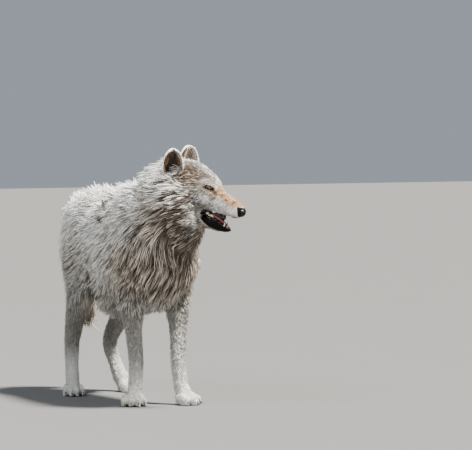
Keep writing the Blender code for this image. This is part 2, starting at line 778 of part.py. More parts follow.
def make_body():
    flesh = head_flesh() + [trunk(), tail()]
    for side, _ in SIDES:
        flesh += [foreleg(side), hindleg(side)]
    body = fused(flesh, "trunk", BODY_VOXEL, BODY_TRIANGLES)
    combine(body, head_region(GAP), "DIFFERENCE")
    keep_main_body(body)
    hanging = part_off(body, tail_region)
    finish(hanging, "tail", CREAM, TAIL[1].centre)
    for side, word in SIDES:
        fore, hind = FORE_STANCE[side], HIND_STANCE[side]
        post = Vector((side * 0.128, 0.020, 0.0))
        leg = part_off(body, lambda grow: domed_region(post, (0.118, 0.135), 0.590, grow))
        combine(leg, low_region(-0.25, 0.25, side, FORE_PAW["ankle"] + GAP, 0.0), "DIFFERENCE")
        finish(leg, f"foreleg_{word}", CREAM, Vector((side * 0.096, 0.010, 0.560)))
        make_paw(f"forepaw_{word}", foreleg(side), fore, side, FORE_PAW)
        post = Vector((side * 0.134, 0.520, 0.0))
        haunch = part_off(body, lambda grow: domed_region(post, (0.128, 0.175), 0.660, grow))
        shank = part_off(haunch, lambda grow: low_region(0.30, 0.75, side, SHANK_CUT_HEIGHT, grow))
        combine(shank, low_region(0.30, 0.75, side, HIND_PAW["ankle"] + GAP, 0.0), "DIFFERENCE")
        finish(haunch, f"thigh_{word}", CREAM, Vector((side * 0.084, 0.545, 0.590)))
        finish(shank, f"hindleg_{word}", CREAM, Vector((*hind["hock"], SHANK_CUT_HEIGHT)))
        make_paw(f"hindpaw_{word}", hindleg(side), hind, side, HIND_PAW)
    ruff = part_off(body, neck_region)
    finish(ruff, "neck", CREAM, Vector((0.0, -0.045, 0.660)))
    finish(body, "trunk", CREAM, Vector((0.0, 0.30, 0.55)))


def make_ears(head):
    for side, word in SIDES:
        made = ear(side)
        make_room(head, made)
        finish(made, f"ear_{word}", TAN, on_head(*EAR_ROOT[side]))


def set_on_origin():
    """Moves the wolf so that the middle of its footprint's box is the origin."""
    bpy.context.view_layer.update()
    corners = [thing.matrix_world @ vert.co for thing in WOLF.objects for vert in thing.data.vertices]
    low = [min(corner[axis] for corner in corners) for axis in range(3)]
    high = [max(corner[axis] for corner in corners) for axis in range(3)]
    shift = Vector(((low[0] + high[0]) * 0.5, (low[1] + high[1]) * 0.5, low[2]))
    for thing in WOLF.objects:
        thing.location -= shift


clear_scene()
WORK = collection_named("work")
WOLF = collection_named("arctic_wolf")
CREAM = material_named("cream_coat", (0.72, 0.66, 0.56), 0.9)
TAN = material_named("tan_coat", (0.45, 0.34, 0.26), 0.9)
BLACK = material_named("black_skin", (0.015, 0.013, 0.013), 0.35)
PINK = material_named("pink_skin", (0.55, 0.22, 0.22), 0.45)
AMBER = material_named("amber_eye", (0.42, 0.24, 0.06), 0.15)

skull_piece = make_head()
make_ears(skull_piece)
finish(skull_piece, "head", CREAM, on_head(NECK_CUT_AT, 0.0, 0.0))
make_body()
set_on_origin()
bpy.data.collections.remove(WORK)
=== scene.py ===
import math
from collections import namedtuple

import bpy
import numpy as np
from bpy.props import FloatProperty, FloatVectorProperty, IntProperty, PointerProperty
from mathutils import Matrix, Vector
from mathutils.bvhtree import BVHTree
from mathutils.kdtree import KDTree


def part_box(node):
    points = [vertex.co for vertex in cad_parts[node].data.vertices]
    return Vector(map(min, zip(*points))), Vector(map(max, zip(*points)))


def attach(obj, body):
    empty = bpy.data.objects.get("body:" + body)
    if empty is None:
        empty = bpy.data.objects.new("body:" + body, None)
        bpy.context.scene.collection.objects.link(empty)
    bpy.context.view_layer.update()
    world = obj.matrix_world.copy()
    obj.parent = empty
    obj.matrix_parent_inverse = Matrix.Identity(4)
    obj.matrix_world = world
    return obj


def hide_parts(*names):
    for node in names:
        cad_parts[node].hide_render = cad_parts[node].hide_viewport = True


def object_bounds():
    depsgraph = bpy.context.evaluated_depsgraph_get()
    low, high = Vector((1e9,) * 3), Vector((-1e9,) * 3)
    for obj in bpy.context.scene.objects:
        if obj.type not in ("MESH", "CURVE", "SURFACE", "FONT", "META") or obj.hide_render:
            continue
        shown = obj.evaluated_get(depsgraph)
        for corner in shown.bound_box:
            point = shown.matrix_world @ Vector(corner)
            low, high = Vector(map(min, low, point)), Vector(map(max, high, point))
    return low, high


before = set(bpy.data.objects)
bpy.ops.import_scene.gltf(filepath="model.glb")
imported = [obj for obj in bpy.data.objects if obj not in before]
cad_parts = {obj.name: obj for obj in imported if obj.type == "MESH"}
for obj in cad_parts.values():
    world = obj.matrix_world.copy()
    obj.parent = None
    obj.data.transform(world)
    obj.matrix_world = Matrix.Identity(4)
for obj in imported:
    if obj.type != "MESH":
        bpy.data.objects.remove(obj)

bl_info = {
    "name": "Arctic Wolf",
    "version": (1, 0, 0),
    "blender": (4, 5, 0),
    "location": "3D View > Sidebar > Arctic Wolf",
    "description": "Skin, coat, face and claws of a standing arctic wolf",
    "category": "Add Mesh",
}

CAD_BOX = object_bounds()
SIDES = ((1, "left"), (-1, "right"))
BODY = "root"
SEED = 11
MERGE_GAP = 0.00001
CAMERA_DISTANCE = 14.017
CAMERA_LENS = 305.4
CAMERA_AIM = (0.2532, -0.2990, 0.1713)  # from the middle of the wolf to where the camera looks

# ---------------------------------------------------------------- places read from the frame
EYE_RADIUS = 0.0118
EYE_SPOT = (-0.1440, 0.0325, 0.0400)  # forward, left and up of the left eye from the tip of the nose
NOSE_SPOT = (-0.0115, 0.0, -0.0085)
MOUTH_CORNER = -0.148
HALF_MUZZLE = 0.075  # nothing of the lips lies further from the middle
SLIT_END = 0.0125  # half the length of the opening between the lids
LID_REACH = 0.0095  # how far from the middle of the eye its lids follow the eyeball


def middle_of(node):
    low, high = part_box(node)
    return np.array((low + high) * 0.5)


def head_frame():
    """The tip of the nose, and forward, left and up of the head as the columns of a matrix."""
    left = middle_of("eye_left") - middle_of("eye_right")
    left /= np.linalg.norm(left)
    ahead = middle_of("nose") - (middle_of("eye_left") + middle_of("eye_right")) * 0.5
    ahead /= np.linalg.norm(ahead)
    over = np.cross(ahead, left)
    tilt = math.atan2(EYE_SPOT[2] - NOSE_SPOT[2], NOSE_SPOT[0] - EYE_SPOT[0])
    forward = ahead * math.cos(tilt) + over * math.sin(tilt)
    up = over * math.cos(tilt) - ahead * math.sin(tilt)
    tip = middle_of("nose") - forward * NOSE_SPOT[0] - up * NOSE_SPOT[2]
    return tip, np.column_stack((forward, left, up))


NOSE_TIP, HEAD_AXES = head_frame()
MIDLINE = middle_of("trunk")[0]
BACK_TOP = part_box("trunk")[1].z
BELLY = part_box("trunk")[0].z
TAIL_LOW, TAIL_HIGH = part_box("tail")


def to_head(points):
    return (np.asarray(points) - NOSE_TIP) @ HEAD_AXES


def from_head(points):
    return NOSE_TIP + np.asarray(points) @ HEAD_AXES.T


def turned_to_body(directions):
    return np.asarray(directions) @ HEAD_AXES.T


# ---------------------------------------------------------------- small mathematics
def ease(value, low, high):
    """0 below low, 1 above high, and smooth between."""
    share = np.clip((value - low) / (high - low), 0.0, 1.0)
    return share * share * (3.0 - 2.0 * share)


def dome(radius, away):
    """Height of a ball at a distance from its axis."""
    return np.sqrt(np.clip(radius**2 - away**2, 0.0, None))


def bump_at(value, middle, reach):
    """1 at the middle, 0 beyond its reach."""
    return 1.0 - ease(np.abs(value - middle), 0.0, reach)


def near_line(x, y, start, end, reach):
    """1 on a straight line from start to end, falling to 0 at a distance of reach."""
    way = np.subtract(end, start)
    share = np.clip(((x - start[0]) * way[0] + (y - start[1]) * way[1]) / (way @ way), 0.0, 1.0)
    away = np.hypot(x - start[0] - share * way[0], y - start[1] - share * way[1])
    return 1.0 - ease(away, reach * 0.25, reach)


def mix(first, second, share):
    share = np.asarray(share)
    if share.ndim == 1 and (np.ndim(first) > 1 or np.ndim(second) > 1):
        share = share[:, None]
    return first * (1.0 - share) + second * share


def strong(share, gain):
    """A share raised by a gain, and held between 0 and 1."""
    return np.clip(share * gain, 0.0, 1.0)


def unit(vectors):
    return vectors / np.maximum(np.linalg.norm(vectors, axis=-1, keepdims=True), 1e-9)


def ripple(points, size, seed):
    """Smooth noise from -1 to 1 whose lumps are about as wide as size."""
    random = np.random.default_rng(seed)
    total = np.zeros(len(points))
    for _ in range(7):
        direction = unit(random.normal(size=3)) * (math.tau / size) * random.uniform(0.35, 0.75)
        total += np.sin(points @ direction + random.uniform(0.0, math.tau))
    return np.clip(total / 3.2, -1.0, 1.0)


# ---------------------------------------------------------------- tools
def select_only(*things):
    if bpy.context.mode != "OBJECT":
        bpy.ops.object.mode_set(mode="OBJECT")
    bpy.ops.object.select_all(action="DESELECT")
    for thing in things:
        thing.select_set(True)
    if things:
        bpy.context.view_layer.objects.active = things[0]


def apply_all(thing):
    """Applies every modifier of a piece, and its place."""
    select_only(thing)
    for modifier in list(thing.modifiers):
        bpy.ops.object.modifier_apply(modifier=modifier.name)
    bpy.ops.object.transform_apply(location=True, rotation=True, scale=True)
    return thing


def named(thing, name):
    thing.name = name
    thing.data.name = name
    return thing


def joined(things, name):
    select_only(*things)
    if len(things) > 1:
        bpy.ops.object.join()
    return named(bpy.context.view_layer.objects.active, name)


def linked(name, data):
    """A new object for a mesh, lamp or camera, in the scene."""
    thing = bpy.data.objects.new(name, data)
    bpy.context.scene.collection.objects.link(thing)
    return thing


def merged(thing, outwards=False):
    """Merges doubles, and turns every face outwards where that is asked."""
    select_only(thing)
    bpy.ops.object.mode_set(mode="EDIT")
    bpy.ops.mesh.select_all(action="SELECT")
    bpy.ops.mesh.remove_doubles(threshold=MERGE_GAP)
    if outwards:
        bpy.ops.mesh.normals_make_consistent(inside=False)
    bpy.ops.object.mode_set(mode="OBJECT")
    return thing


def copy_of_node(node):
    """A loose copy of a CAD node's mesh with its doubles merged."""
    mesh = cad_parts[node].data.copy()
    mesh.materials.clear()
    return merged(linked(node + "_copy", mesh))


def numbers_of(things, key, width=1, kind=np.float32):
    """One number or vector of each vertex, edge, loop or face, as an array."""
    values = np.empty(len(things) * width, kind)
    things.foreach_get(key, values)
    return values.reshape(-1, width) if width > 1 else values


def spots_of(mesh):
    return numbers_of(mesh.vertices, "co", 3).astype(float)


def normals_of(mesh):
    return numbers_of(mesh.vertex_normals, "vector", 3).astype(float)


def edges_of(mesh):
    return numbers_of(mesh.edges, "vertices", 2, np.int32)


def face_middles(mesh):
    return numbers_of(mesh.polygons, "center", 3).astype(float)


def set_spots(mesh, spots):
    mesh.vertices.foreach_set("co", spots.astype(np.float32).ravel())
    mesh.update()


def spread_out(values, edges, rounds, keep=0.5):
    """Averages a value over each vertex's neighbours, round after round."""
    count = len(values)
    first, second = edges[:, 0], edges[:, 1]
    degree = np.maximum(np.bincount(first, minlength=count) + np.bincount(second, minlength=count), 1)
    values = values.reshape(count, -1).copy()
    for _ in range(rounds):
        for column in range(values.shape[1]):
            field = values[:, column]
            around = np.bincount(first, field[second], count) + np.bincount(second, field[first], count)
            values[:, column] = field * keep + around / degree * (1.0 - keep)
    return values


def primitive_ball(name, centre, axes, radii, segments=32, rings=20):
    """A UV sphere, stretched along the columns of axes."""
    select_only()
    bpy.ops.mesh.primitive_uv_sphere_add(segments=segments, ring_count=rings, radius=1.0)
    thing = named(bpy.context.active_object, name)
    spots = spots_of(thing.data) * np.asarray(radii)
    set_spots(thing.data, spots @ np.asarray(axes).T + np.asarray(centre))
    return thing


def ball_of_one(name, segments, rings):
    """A UV sphere of radius 1, to be shaped by a formula."""
    return primitive_ball(name, (0.0, 0.0, 0.0), np.eye(3), (1.0, 1.0, 1.0), segments, rings)


def tree_of(spots):
    """A search tree for the nearest of some places."""
    tree = KDTree(len(spots))
    for index, spot in enumerate(spots):
        tree.insert(spot, index)
    tree.balance()
    return tree


def finish_piece(thing, material, *replaced):
    """Shades a piece, gives it its material, and sets it on the body."""
    thing.data.materials.clear()
    thing.data.materials.append(material)
    thing.data.shade_smooth()
    if replaced:
        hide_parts(*replaced)
    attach(thing, BODY)
    return thing


def paint(mesh, colours, name="coat_colour"):
    """Keeps one colour for each vertex as an attribute."""
    layer = mesh.color_attributes.new(name, "FLOAT_COLOR", "POINT")
    full = np.ones((len(mesh.vertices), 4), np.float32)
    full[:, :3] = np.clip(colours, 0.0, 1.0)
    layer.data.foreach_set("color", full.ravel())


# ---------------------------------------------------------------- settings
USUAL_SPACING = 0.0056


def colour_setting(name, description, default):
    shared = {"subtype": "COLOR", "size": 3, "min": 0.0, "max": 1.0}
    return FloatVectorProperty(name=name, description=description, default=default, **shared)


def length_setting(name, description, default):
    shared = {"unit": "LENGTH", "min": 0.0, "precision": 4}
    return FloatProperty(name=name, description=description, default=default, **shared)


def angle_setting(name, description, degrees):
    return FloatProperty(name=name, description=description, subtype="ANGLE", default=math.radians(degrees))


class WolfCoatSettings(bpy.types.PropertyGroup):
    """Colours and lengths of the coat."""

    white: colour_setting("White", "Lips, cheeks, back and paws", (0.90, 0.87, 0.81))
    cream: colour_setting("Cream", "Flanks and belly", (0.76, 0.70, 0.60))
    grey: colour_setting("Grey", "Outer side of the legs and the flanks", (0.42, 0.41, 0.38))
    brown: colour_setting("Brown", "Undercoat of the neck and chest", (0.120, 0.082, 0.056))
    tan: colour_setting("Tan", "Bridge and sides of the muzzle", (0.54, 0.29, 0.135))
    dark: colour_setting("Dark", "Dark hairs on back, temples and elbows", (0.040, 0.031, 0.026))
    strand_width: length_setting("Tuft width", "Width of a tuft of the body at its root", 0.0036)
    spacing: length_setting("Spacing", "Distance between tufts of the body", USUAL_SPACING)
    neck_length: length_setting("Neck hair", "Length of the hair of the neck and chest", 0.092)
    trunk_length: length_setting("Trunk hair", "Length of the hair of the trunk", 0.068)


class WolfFaceSettings(bpy.types.PropertyGroup):
    """Colours and sizes of the face."""

    black: colour_setting("Black skin", "Nose, lips and lids", (0.0045, 0.0040, 0.0042))
    iris: colour_setting("Iris", "Amber of the eye", (0.27, 0.135, 0.030))
    tongue: colour_setting("Tongue", "Tongue and palate", (0.26, 0.080, 0.080))
    ivory: colour_setting("Ivory", "Teeth", (0.72, 0.62, 0.42))
    claw: colour_setting("Claw", "Claws", (0.045, 0.036, 0.030))
    slit_length: length_setting("Eye slit", "Half the length of the opening between the lids", SLIT_END)
    slit_rise: length_setting("Eye slit height", "How far the upper lid stands above the middle", 0.0056)
    whisker_count: IntProperty(
        name="Whiskers", description="Whiskers on each side", min=0, max=40, default=12
    )


class WolfStageSettings(bpy.types.PropertyGroup):
    """Floor, light and camera."""

    floor: colour_setting("Floor", "Colour of the floor", (0.082, 0.080, 0.077))
    azimuth: angle_setting("Azimuth", "Camera's place round the wolf", -25.1)
    elevation: angle_setting("Elevation", "Camera's height above level", 2.53)
    distance: length_setting("Distance", "From the camera to the wolf", CAMERA_DISTANCE)


# ---------------------------------------------------------------- materials
def new_material(name, roughness=0.7):
    material = bpy.data.materials.new(name)
    material.use_nodes = True
    tree = material.node_tree
    shader = tree.nodes["Principled BSDF"]
    shader.inputs["Roughness"].default_value = roughness
    return material, tree, shader


def add_node(tree, kind, **values):
    node = tree.nodes.new(kind)
    for key, value in values.items():
        if hasattr(node, key):
            setattr(node, key, value)
        else:
            node.inputs[key].default_value = value
    return node


def noise_on(tree, vector, scale, detail=3.0):
    noise = add_node(tree, "ShaderNodeTexNoise", Scale=scale, Detail=detail)
    tree.links.new(vector, noise.inputs["Vector"])
    return noise.outputs["Fac"]


def ranged(tree, value, low, high):
    """Spreads the middle half of a noise over low to high."""
    ends = {"From Min": 0.25, "From Max": 0.75, "To Min": low, "To Max": high}
    node = add_node(tree, "ShaderNodeMapRange", **ends)
    tree.links.new(value, node.inputs["Value"])
    return node.outputs["Result"]


def brightened(tree, colour, factor):
    """Multiplies a colour by a varying number."""
    node = add_node(tree, "ShaderNodeVectorMath", operation="SCALE")
    tree.links.new(colour, node.inputs[0])
    tree.links.new(factor, node.inputs["Scale"])
    return node.outputs["Vector"]


def plain_colour(tree, colour):
    tint = add_node(tree, "ShaderNodeRGB")
    tint.outputs[0].default_value = (*colour, 1.0)
    return tint.outputs[0]


def bumped(tree, shader, height, strength, distance):
    bump = add_node(tree, "ShaderNodeBump", Strength=strength, Distance=distance)
    tree.links.new(height, bump.inputs["Height"])
    tree.links.new(bump.outputs["Normal"], shader.inputs["Normal"])


def object_coordinates(tree):
    return tree.nodes.new("ShaderNodeTexCoord").outputs["Object"]


def head_coordinates(tree, stretch):
    """Object coordinates turned to the head's own axes, and stretched along them."""
    heading = Matrix(HEAD_AXES.tolist()).to_euler()
    turn = add_node(tree, "ShaderNodeMapping", vector_type="TEXTURE", Rotation=heading)
    scale = add_node(tree, "ShaderNodeMapping", Scale=stretch)
    tree.links.new(object_coordinates(tree), turn.inputs["Vector"])
    tree.links.new(turn.outputs["Vector"], scale.inputs["Vector"])
    return scale.outputs["Vector"]


def attribute(tree, name):
    return add_node(tree, "ShaderNodeAttribute", attribute_name=name).outputs["Color"]


def coat_material():
    """Tufts: each vertex has its colour, and finer hairs run along the tuft."""
    material, tree, shader = new_material("coat_hair")
    shader.inputs["Specular IOR Level"].default_value = 0.12
    strand = add_node(tree, "ShaderNodeUVMap", uv_map="Strand")
    stretch = add_node(tree, "ShaderNodeMapping", Scale=(9.0, 0.8, 1.0))
    tree.links.new(strand.outputs["UV"], stretch.inputs["Vector"])
    hairs = noise_on(tree, stretch.outputs["Vector"], 1.0, 2.0)
    colour = brightened(tree, attribute(tree, "coat_colour"), ranged(tree, hairs, 0.80, 1.18))
    tree.links.new(colour, shader.inputs["Base Color"])
    tree.links.new(ranged(tree, hairs, 0.82, 0.58), shader.inputs["Roughness"])
    bumped(tree, shader, hairs, 0.35, 0.0006)
    return material


def skin_material():
    """Short fur that lies flat, as fine streaks along the head, in the colours of the coat."""
    material, tree, shader = new_material("wolf_skin")
    shader.inputs["Specular IOR Level"].default_value = 0.08
    streaks = noise_on(tree, head_coordinates(tree, (90.0, 620.0, 620.0)), 1.0, 4.0)
    specks = noise_on(tree, object_coordinates(tree), 260.0)
    colour = brightened(tree, attribute(tree, "coat_colour"), ranged(tree, streaks, 0.72, 1.22))
    colour = brightened(tree, colour, ranged(tree, specks, 0.88, 1.10))
    tree.links.new(colour, shader.inputs["Base Color"])
    wet = add_node(tree, "ShaderNodeAttribute", attribute_name="wet")
    smoother = add_node(tree, "ShaderNodeMath", operation="MULTIPLY_ADD")
    smoother.inputs[1].default_value = -0.40  # how much smoother damp skin is
    tree.links.new(wet.outputs["Fac"], smoother.inputs[0])
    tree.links.new(ranged(tree, streaks, 0.86, 0.70), smoother.inputs[2])
    tree.links.new(smoother.outputs["Value"], shader.inputs["Roughness"])
    bumped(tree, shader, streaks, 0.55, 0.0012)
    return material


def moist_material(name, colour, roughness, grain, strength, coat=0.0):
    """Bare, damp skin, horn or tooth with a fine grain."""
    material, tree, shader = new_material(name)
    shader.inputs["Specular IOR Level"].default_value = 0.25
    shader.inputs["Coat Weight"].default_value = coat
    shader.inputs["Coat Roughness"].default_value = 0.18
    vector = object_coordinates(tree)
    cells = add_node(tree, "ShaderNodeTexVoronoi", Scale=grain)
    tree.links.new(vector, cells.inputs["Vector"])
    clouds = noise_on(tree, vector, grain * 0.25)
    shaded = brightened(tree, plain_colour(tree, colour), ranged(tree, clouds, 0.62, 1.35))
    tree.links.new(shaded, shader.inputs["Base Color"])
    tree.links.new(ranged(tree, clouds, roughness * 1.25, roughness * 0.75), shader.inputs["Roughness"])
    bumped(tree, shader, cells.outputs["Distance"], strength, 0.0008)
    return material


def eye_material():
    """A glossy eye whose iris and pupil are painted ring by ring."""
    material, tree, shader = new_material("amber_eye", 0.12)
    shader.inputs["Coat Weight"].default_value = 1.0
    shader.inputs["Coat Roughness"].default_value = 0.03
    flecks = noise_on(tree, object_coordinates(tree), 900.0)
    colour = brightened(tree, attribute(tree, "eye_colour"), ranged(tree, flecks, 0.75, 1.3))
    tree.links.new(colour, shader.inputs["Base Color"])
    return material


def floor_material(colour):
    material, tree, shader = new_material("studio_floor")
    clouds = noise_on(tree, object_coordinates(tree), 3.0)
    shaded = brightened(tree, plain_colour(tree, colour), ranged(tree, clouds, 0.985, 1.015))
    tree.links.new(shaded, shader.inputs["Base Color"])
    tree.links.new(ranged(tree, clouds, 0.80, 0.86), shader.inputs["Roughness"])
    return material


# ---------------------------------------------------------------- markings
Tints = namedtuple("Tints", "white cream grey brown tan dark")


def coat_tints():
    """The coat's colours as arrays."""
    coat = bpy.context.scene.wolf_coat
    return Tints(*(np.array(getattr(coat, name)) for name in Tints._fields))


def trunk_markings(points, tints):
    """White along the back, partly painted sunlight from above, cream flanks with a painted highlight
    streak, greyer and browner towards shoulder and chest.
    """
    white, cream, grey, brown, tan, _ = tints
    x, y, z = points.T
    # lighter along the top of the back, tips and roots alike: partly the coat's own white and partly painted
    # sunlight falling from above
    top = ease(z, BACK_TOP - 0.31, BACK_TOP - 0.12)
    fore = 1.0 - ease(y, -0.26, -0.04)
    tip = mix((white * 0.58 + cream * 0.33)[None], white * 1.08, top)
    tip = mix(tip, cream * 0.68 + tan * 0.24, fore * 0.75 * (1.0 - top * 0.9))
    # painted highlight: a bright streak of lit hair from the middle of the back down to the front of the
    # thigh, with less painted shade between its locks
    painted_flank_highlight = near_line(y, z, (-0.130, 0.640), (0.050, 0.545), 0.055)
    painted_flank_highlight = np.maximum(painted_flank_highlight, near_line(y, z, (0.050, 0.545), (0.010, 0.430), 0.050))
    tip = mix(tip, white, painted_flank_highlight * 0.75)
    haunch = ease(y, 0.10, 0.20) * (1.0 - ease(z, 0.42, 0.58))
    tip = mix(tip, cream * 0.50 + grey * 0.25, haunch * 0.75)
    root = mix((grey * 0.60)[None], grey * 1.05, top)
    root = mix(root, brown * 0.95, fore * 0.9 * (1.0 - top * 0.5))
    lumps = np.clip(ripple(points, 0.09, 3), 0.0, 1.0)
    dusk = (0.14 + 0.30 * fore * (1.0 - top) + 0.12 * lumps) * (1.0 - 0.6 * painted_flank_highlight)
    fringe = (1.0 - ease(z, BELLY + 0.02, BELLY + 0.13)) * (1.0 - ease(np.abs(x - MIDLINE), 0.06, 0.13))
    tip = mix(tip, cream * 0.72 + tan * 0.30, fringe * ease(z, BELLY - 0.06, BELLY) * 0.7)
    return tip, root, dusk


def flecks(points):
    """Two dark flecks across the back behind the shoulders."""
    _, y, z = points.T
    upper = near_line(y, z, (0.034, 0.672), (0.008, 0.710), 0.026)
    return strong(np.maximum(upper, near_line(y, z, (0.000, 0.644), (-0.016, 0.662), 0.024)), 3.0)


def elbow_and_stifle(points):
    """Dark hair at the elbow and in front of the knee."""
    x, y, z = points.T
    across = np.abs(x - MIDLINE)
    elbow = bump_at(z, 0.365, 0.085) * bump_at(y, -0.195, 0.075) * ease(across, 0.075, 0.115)
    stifle = near_line(y, z, (0.105, 0.440), (0.145, 0.360), 0.034) * ease(across, 0.06, 0.10)
    return elbow, stifle


def leg_markings(points, tints, tip, root, dusk):
    """Grey outside, white inside the forelegs and at the paws, and cream in the fold of the thigh."""
    white, cream, grey, brown, tan, _ = tints
    x, y, z = points.T
    across = x - MIDLINE
    leg = 1.0 - ease(z, 0.30, 0.42)
    low = 1.0 - ease(z, 0.085, 0.20)
    tip = mix(tip, grey * 1.20, leg * 0.85)
    root = mix(root, grey * 0.55, leg)
    for side, word in SIDES:
        inner = ease((middle_of("foreleg_" + word)[0] - x) * side, -0.015, 0.020) * (y < 0.0)
        tip = mix(tip, white, leg * inner * 0.7 * (across * side > 0.0))
    tip = mix(tip, white, low * 0.85)
    root = mix(root, grey * 1.15, low)
    dusk = mix(mix(dusk, 0.16, leg), 0.05, low)
    dusk = np.maximum(dusk, 0.70 * np.maximum(*elbow_and_stifle(points)))
    fold = bump_at(y, 0.180, 0.065) * bump_at(z, 0.325, 0.070) * (1.0 - ease(np.abs(across), 0.105, 0.130))
    tip = mix(tip, cream * 0.85 + tan * 0.10, strong(fold, 1.5))
    root = mix(root, cream * 0.45, strong(fold, 1.5))
    shank = leg * (1.0 - low) * ease(y, 0.10, 0.20)
    return mix(tip, grey * 0.85 + brown * 0.35, shank * 0.55), root, dusk * (1.0 - fold)


def neck_markings(points, tints):
    """Cream-grey locks over a brown undercoat, white at the nape, partly as painted sunlight on the top of
    the neck.
    """
    white, cream, grey, brown, tan, _ = tints
    _, _, u = to_head(points).T
    # the nape is white partly for its own pale hair and partly as painted sunlight on the top of the neck
    nape = ease(u, -0.075, 0.010)
    throat = 1.0 - ease(u, -0.16, 0.02)
    tip = mix((cream * 0.62 + white * 0.26)[None], cream * 0.56 + tan * 0.26, throat * 0.85)
    root = mix((brown * 0.85)[None], grey * 0.95, nape)
    return mix(tip, white * 1.05, nape), root, 0.52 - 0.34 * nape


def crown_markings(points, tints):
    """The head behind the eyes: ruff, ear bases, temples, and a dark forehead whose pale middle is partly
    painted rim light.
    """
    white, cream, grey, brown, tan, _ = tints
    f, l, u = to_head(points).T
    side = np.abs(l)
    ruff = 1.0 - ease(f, -0.205, -0.150)
    tip = mix((white * 0.84)[None], cream * 1.20, ruff * 0.35)
    root = mix((grey * 0.62)[None], brown * 0.9, ruff)
    dusk = mix(0.56 - 0.38 * ease(f, -0.120, -0.070), 0.62, ruff * (1.0 - ease(u, 0.03, 0.09)))
    low_ruff = ruff * (1.0 - ease(u, -0.105, -0.045))
    tip = mix(tip, cream * 0.40 + tan * 0.28, low_ruff * 0.85)
    base = near_ears(points, 0.066)
    tip = mix(tip, tan * 0.45 + brown * 0.60, base * 0.8)
    root = mix(root, brown * 0.7, base)
    temple = ease(side, 0.026, 0.046) * bump_at(f, -0.196, 0.062) * bump_at(u, 0.062, 0.044)
    tip = mix(tip, tan * 0.45 + cream * 0.50, strong(temple, 1.2) * 0.75)
    dusk = np.maximum(dusk, 0.50 * temple)
    # the dark forehead stops short of the middle, which stays pale for its white hair and as painted rim
    # light along the top of the head
    pale_rim_lit_half_width = np.interp(f, [-0.234, -0.171, -0.142], [0.042, 0.032, 0.012])
    forehead = ease(side, pale_rim_lit_half_width - 0.006, pale_rim_lit_half_width + 0.006) * ease(u, 0.050, 0.062)
    forehead = forehead * ease(f, -0.250, -0.225) * (1.0 - ease(f, -0.134, -0.118))
    tip = mix(tip, grey * 0.42 + tan * 0.20, strong(forehead, 1.2) * 0.95)
    dusk = np.maximum(dusk, 0.85 * forehead)
    # the top of the crown is set back to white: its own pale hair, and painted rim light along the middle
    crown = ease(u, 0.078, 0.102) * (1.0 - ease(side, 0.022, 0.050))
    return mix(tip, white * 0.78, crown), root, mix(dusk, 0.55, crown)


def bridge_line(f):
    """Height at which the tan of the bridge ends, from the brow to the nose."""
    ahead = [-0.150, -0.121, -0.106, -0.083, -0.053, -0.025]
    return np.interp(f, ahead, [0.050, 0.030, 0.014, 0.007, 0.000, -0.005])


def muzzle_markings(points, tints, tip, root, dusk):
    """White cheeks, a tan bridge with worn places and a painted highlight along its top, painted shade under
    the jaw, and the lines and spots round the eyes and whiskers.
    """
    white, _, grey, brown, tan, dark = tints
    f, l, u = to_head(points).T
    side = np.abs(l)
    cheek = bump_at(u, -0.012, 0.042) * ease(f, -0.200, -0.160) * (1.0 - ease(f, -0.118, -0.078))
    tip = mix(tip, white, cheek * 0.9)
    above = u - bridge_line(f)
    bridge = ease(f, -0.130, -0.106) * (1.0 - ease(f, -0.008, -0.002))
    bridge = strong(bridge * ease(above + 0.004 * ripple(points, 0.030, 4), -0.014, 0.014), 1.15)
    worn = ease(ripple(points, 0.014, 9), 0.1, 0.9) * ease(side, 0.004, 0.014)
    tip = mix(tip, mix((tan * 0.50 + white * 0.07)[None], tan * 0.18 + brown * 0.15, worn), bridge)
    root = mix(root, tan * 0.55, bridge)
    dusk = mix(dusk, 0.12, bridge)
    # painted highlight: the top of the bridge is paler, standing for the sunlit rim along the muzzle
    ridge = bridge * (1.0 - ease(side, 0.004, 0.014)) * ease(above, 0.015, 0.030)
    tip = mix(tip, white * 0.34 + tan * 0.36, ridge * 0.75)

    pouch = near_line(f, u, (-0.160, 0.034), (-0.118, 0.010), 0.016) * (1.0 - bridge)
    patch = near_line(f, u, (-0.176, 0.077), (-0.156, 0.075), 0.012) * ease(side, 0.020, 0.032)
    brow = near_line(f, u, (-0.182, 0.047), (-0.154, 0.066), 0.0062) * ease(side, 0.024, 0.034)
    tear = near_line(f, u, (-0.130, 0.036), (-0.112, 0.022), 0.0070)
    streak = near_line(f, u, (-0.172, 0.046), (-0.198, 0.037), 0.0065) * ease(side, 0.04, 0.05)
    lines = (
        (pouch, 1.4, white * 0.26 + tan * 0.36),
        (patch, 2.2, grey * 0.16 + brown * 0.60),
        (brow, 1.8, white * 0.34 + tan * 0.24),
        (tear, 2.0, tan * 0.20),
        (streak, 2.0, grey * 0.15 + brown * 0.55),
    )
    for share, gain, tint in lines:
        tip = mix(tip, tint, strong(share, gain))
    dusk = np.maximum(dusk, patch * 0.5) * (1.0 - brow)

    slope = u + 0.13 * f  # the rows of whisker spots run level along this
    rows = np.cos(slope * 900.0) * np.cos(f * 620.0)
    spots = bump_at(slope, -0.010, 0.014) * bump_at(f, -0.066, 0.034) * ease(rows, 0.15, 0.6)
    tip = mix(tip, brown * 0.9, spots * 0.8)
    liner = near_line(f, u, (-0.149, 0.0380), (-0.127, 0.0370), 0.0078) * ease(side, 0.022, 0.028)
    tip, root = mix(tip, dark, strong(liner, 2.0)), mix(root, dark, strong(liner, 2.0))
    # painted shade: the hair under the front of the jaw is painted darker grey-tan, where shade falls
    # beneath the head
    shade_under_jaw = 1.0 - ease(u, lower_lip(f) - 0.034, lower_lip(f) - 0.022)
    tip = mix(tip, tan * 0.30 + grey * 0.55, shade_under_jaw * ease(f, -0.16, -0.13) * 0.8)
    return tip, root, dusk


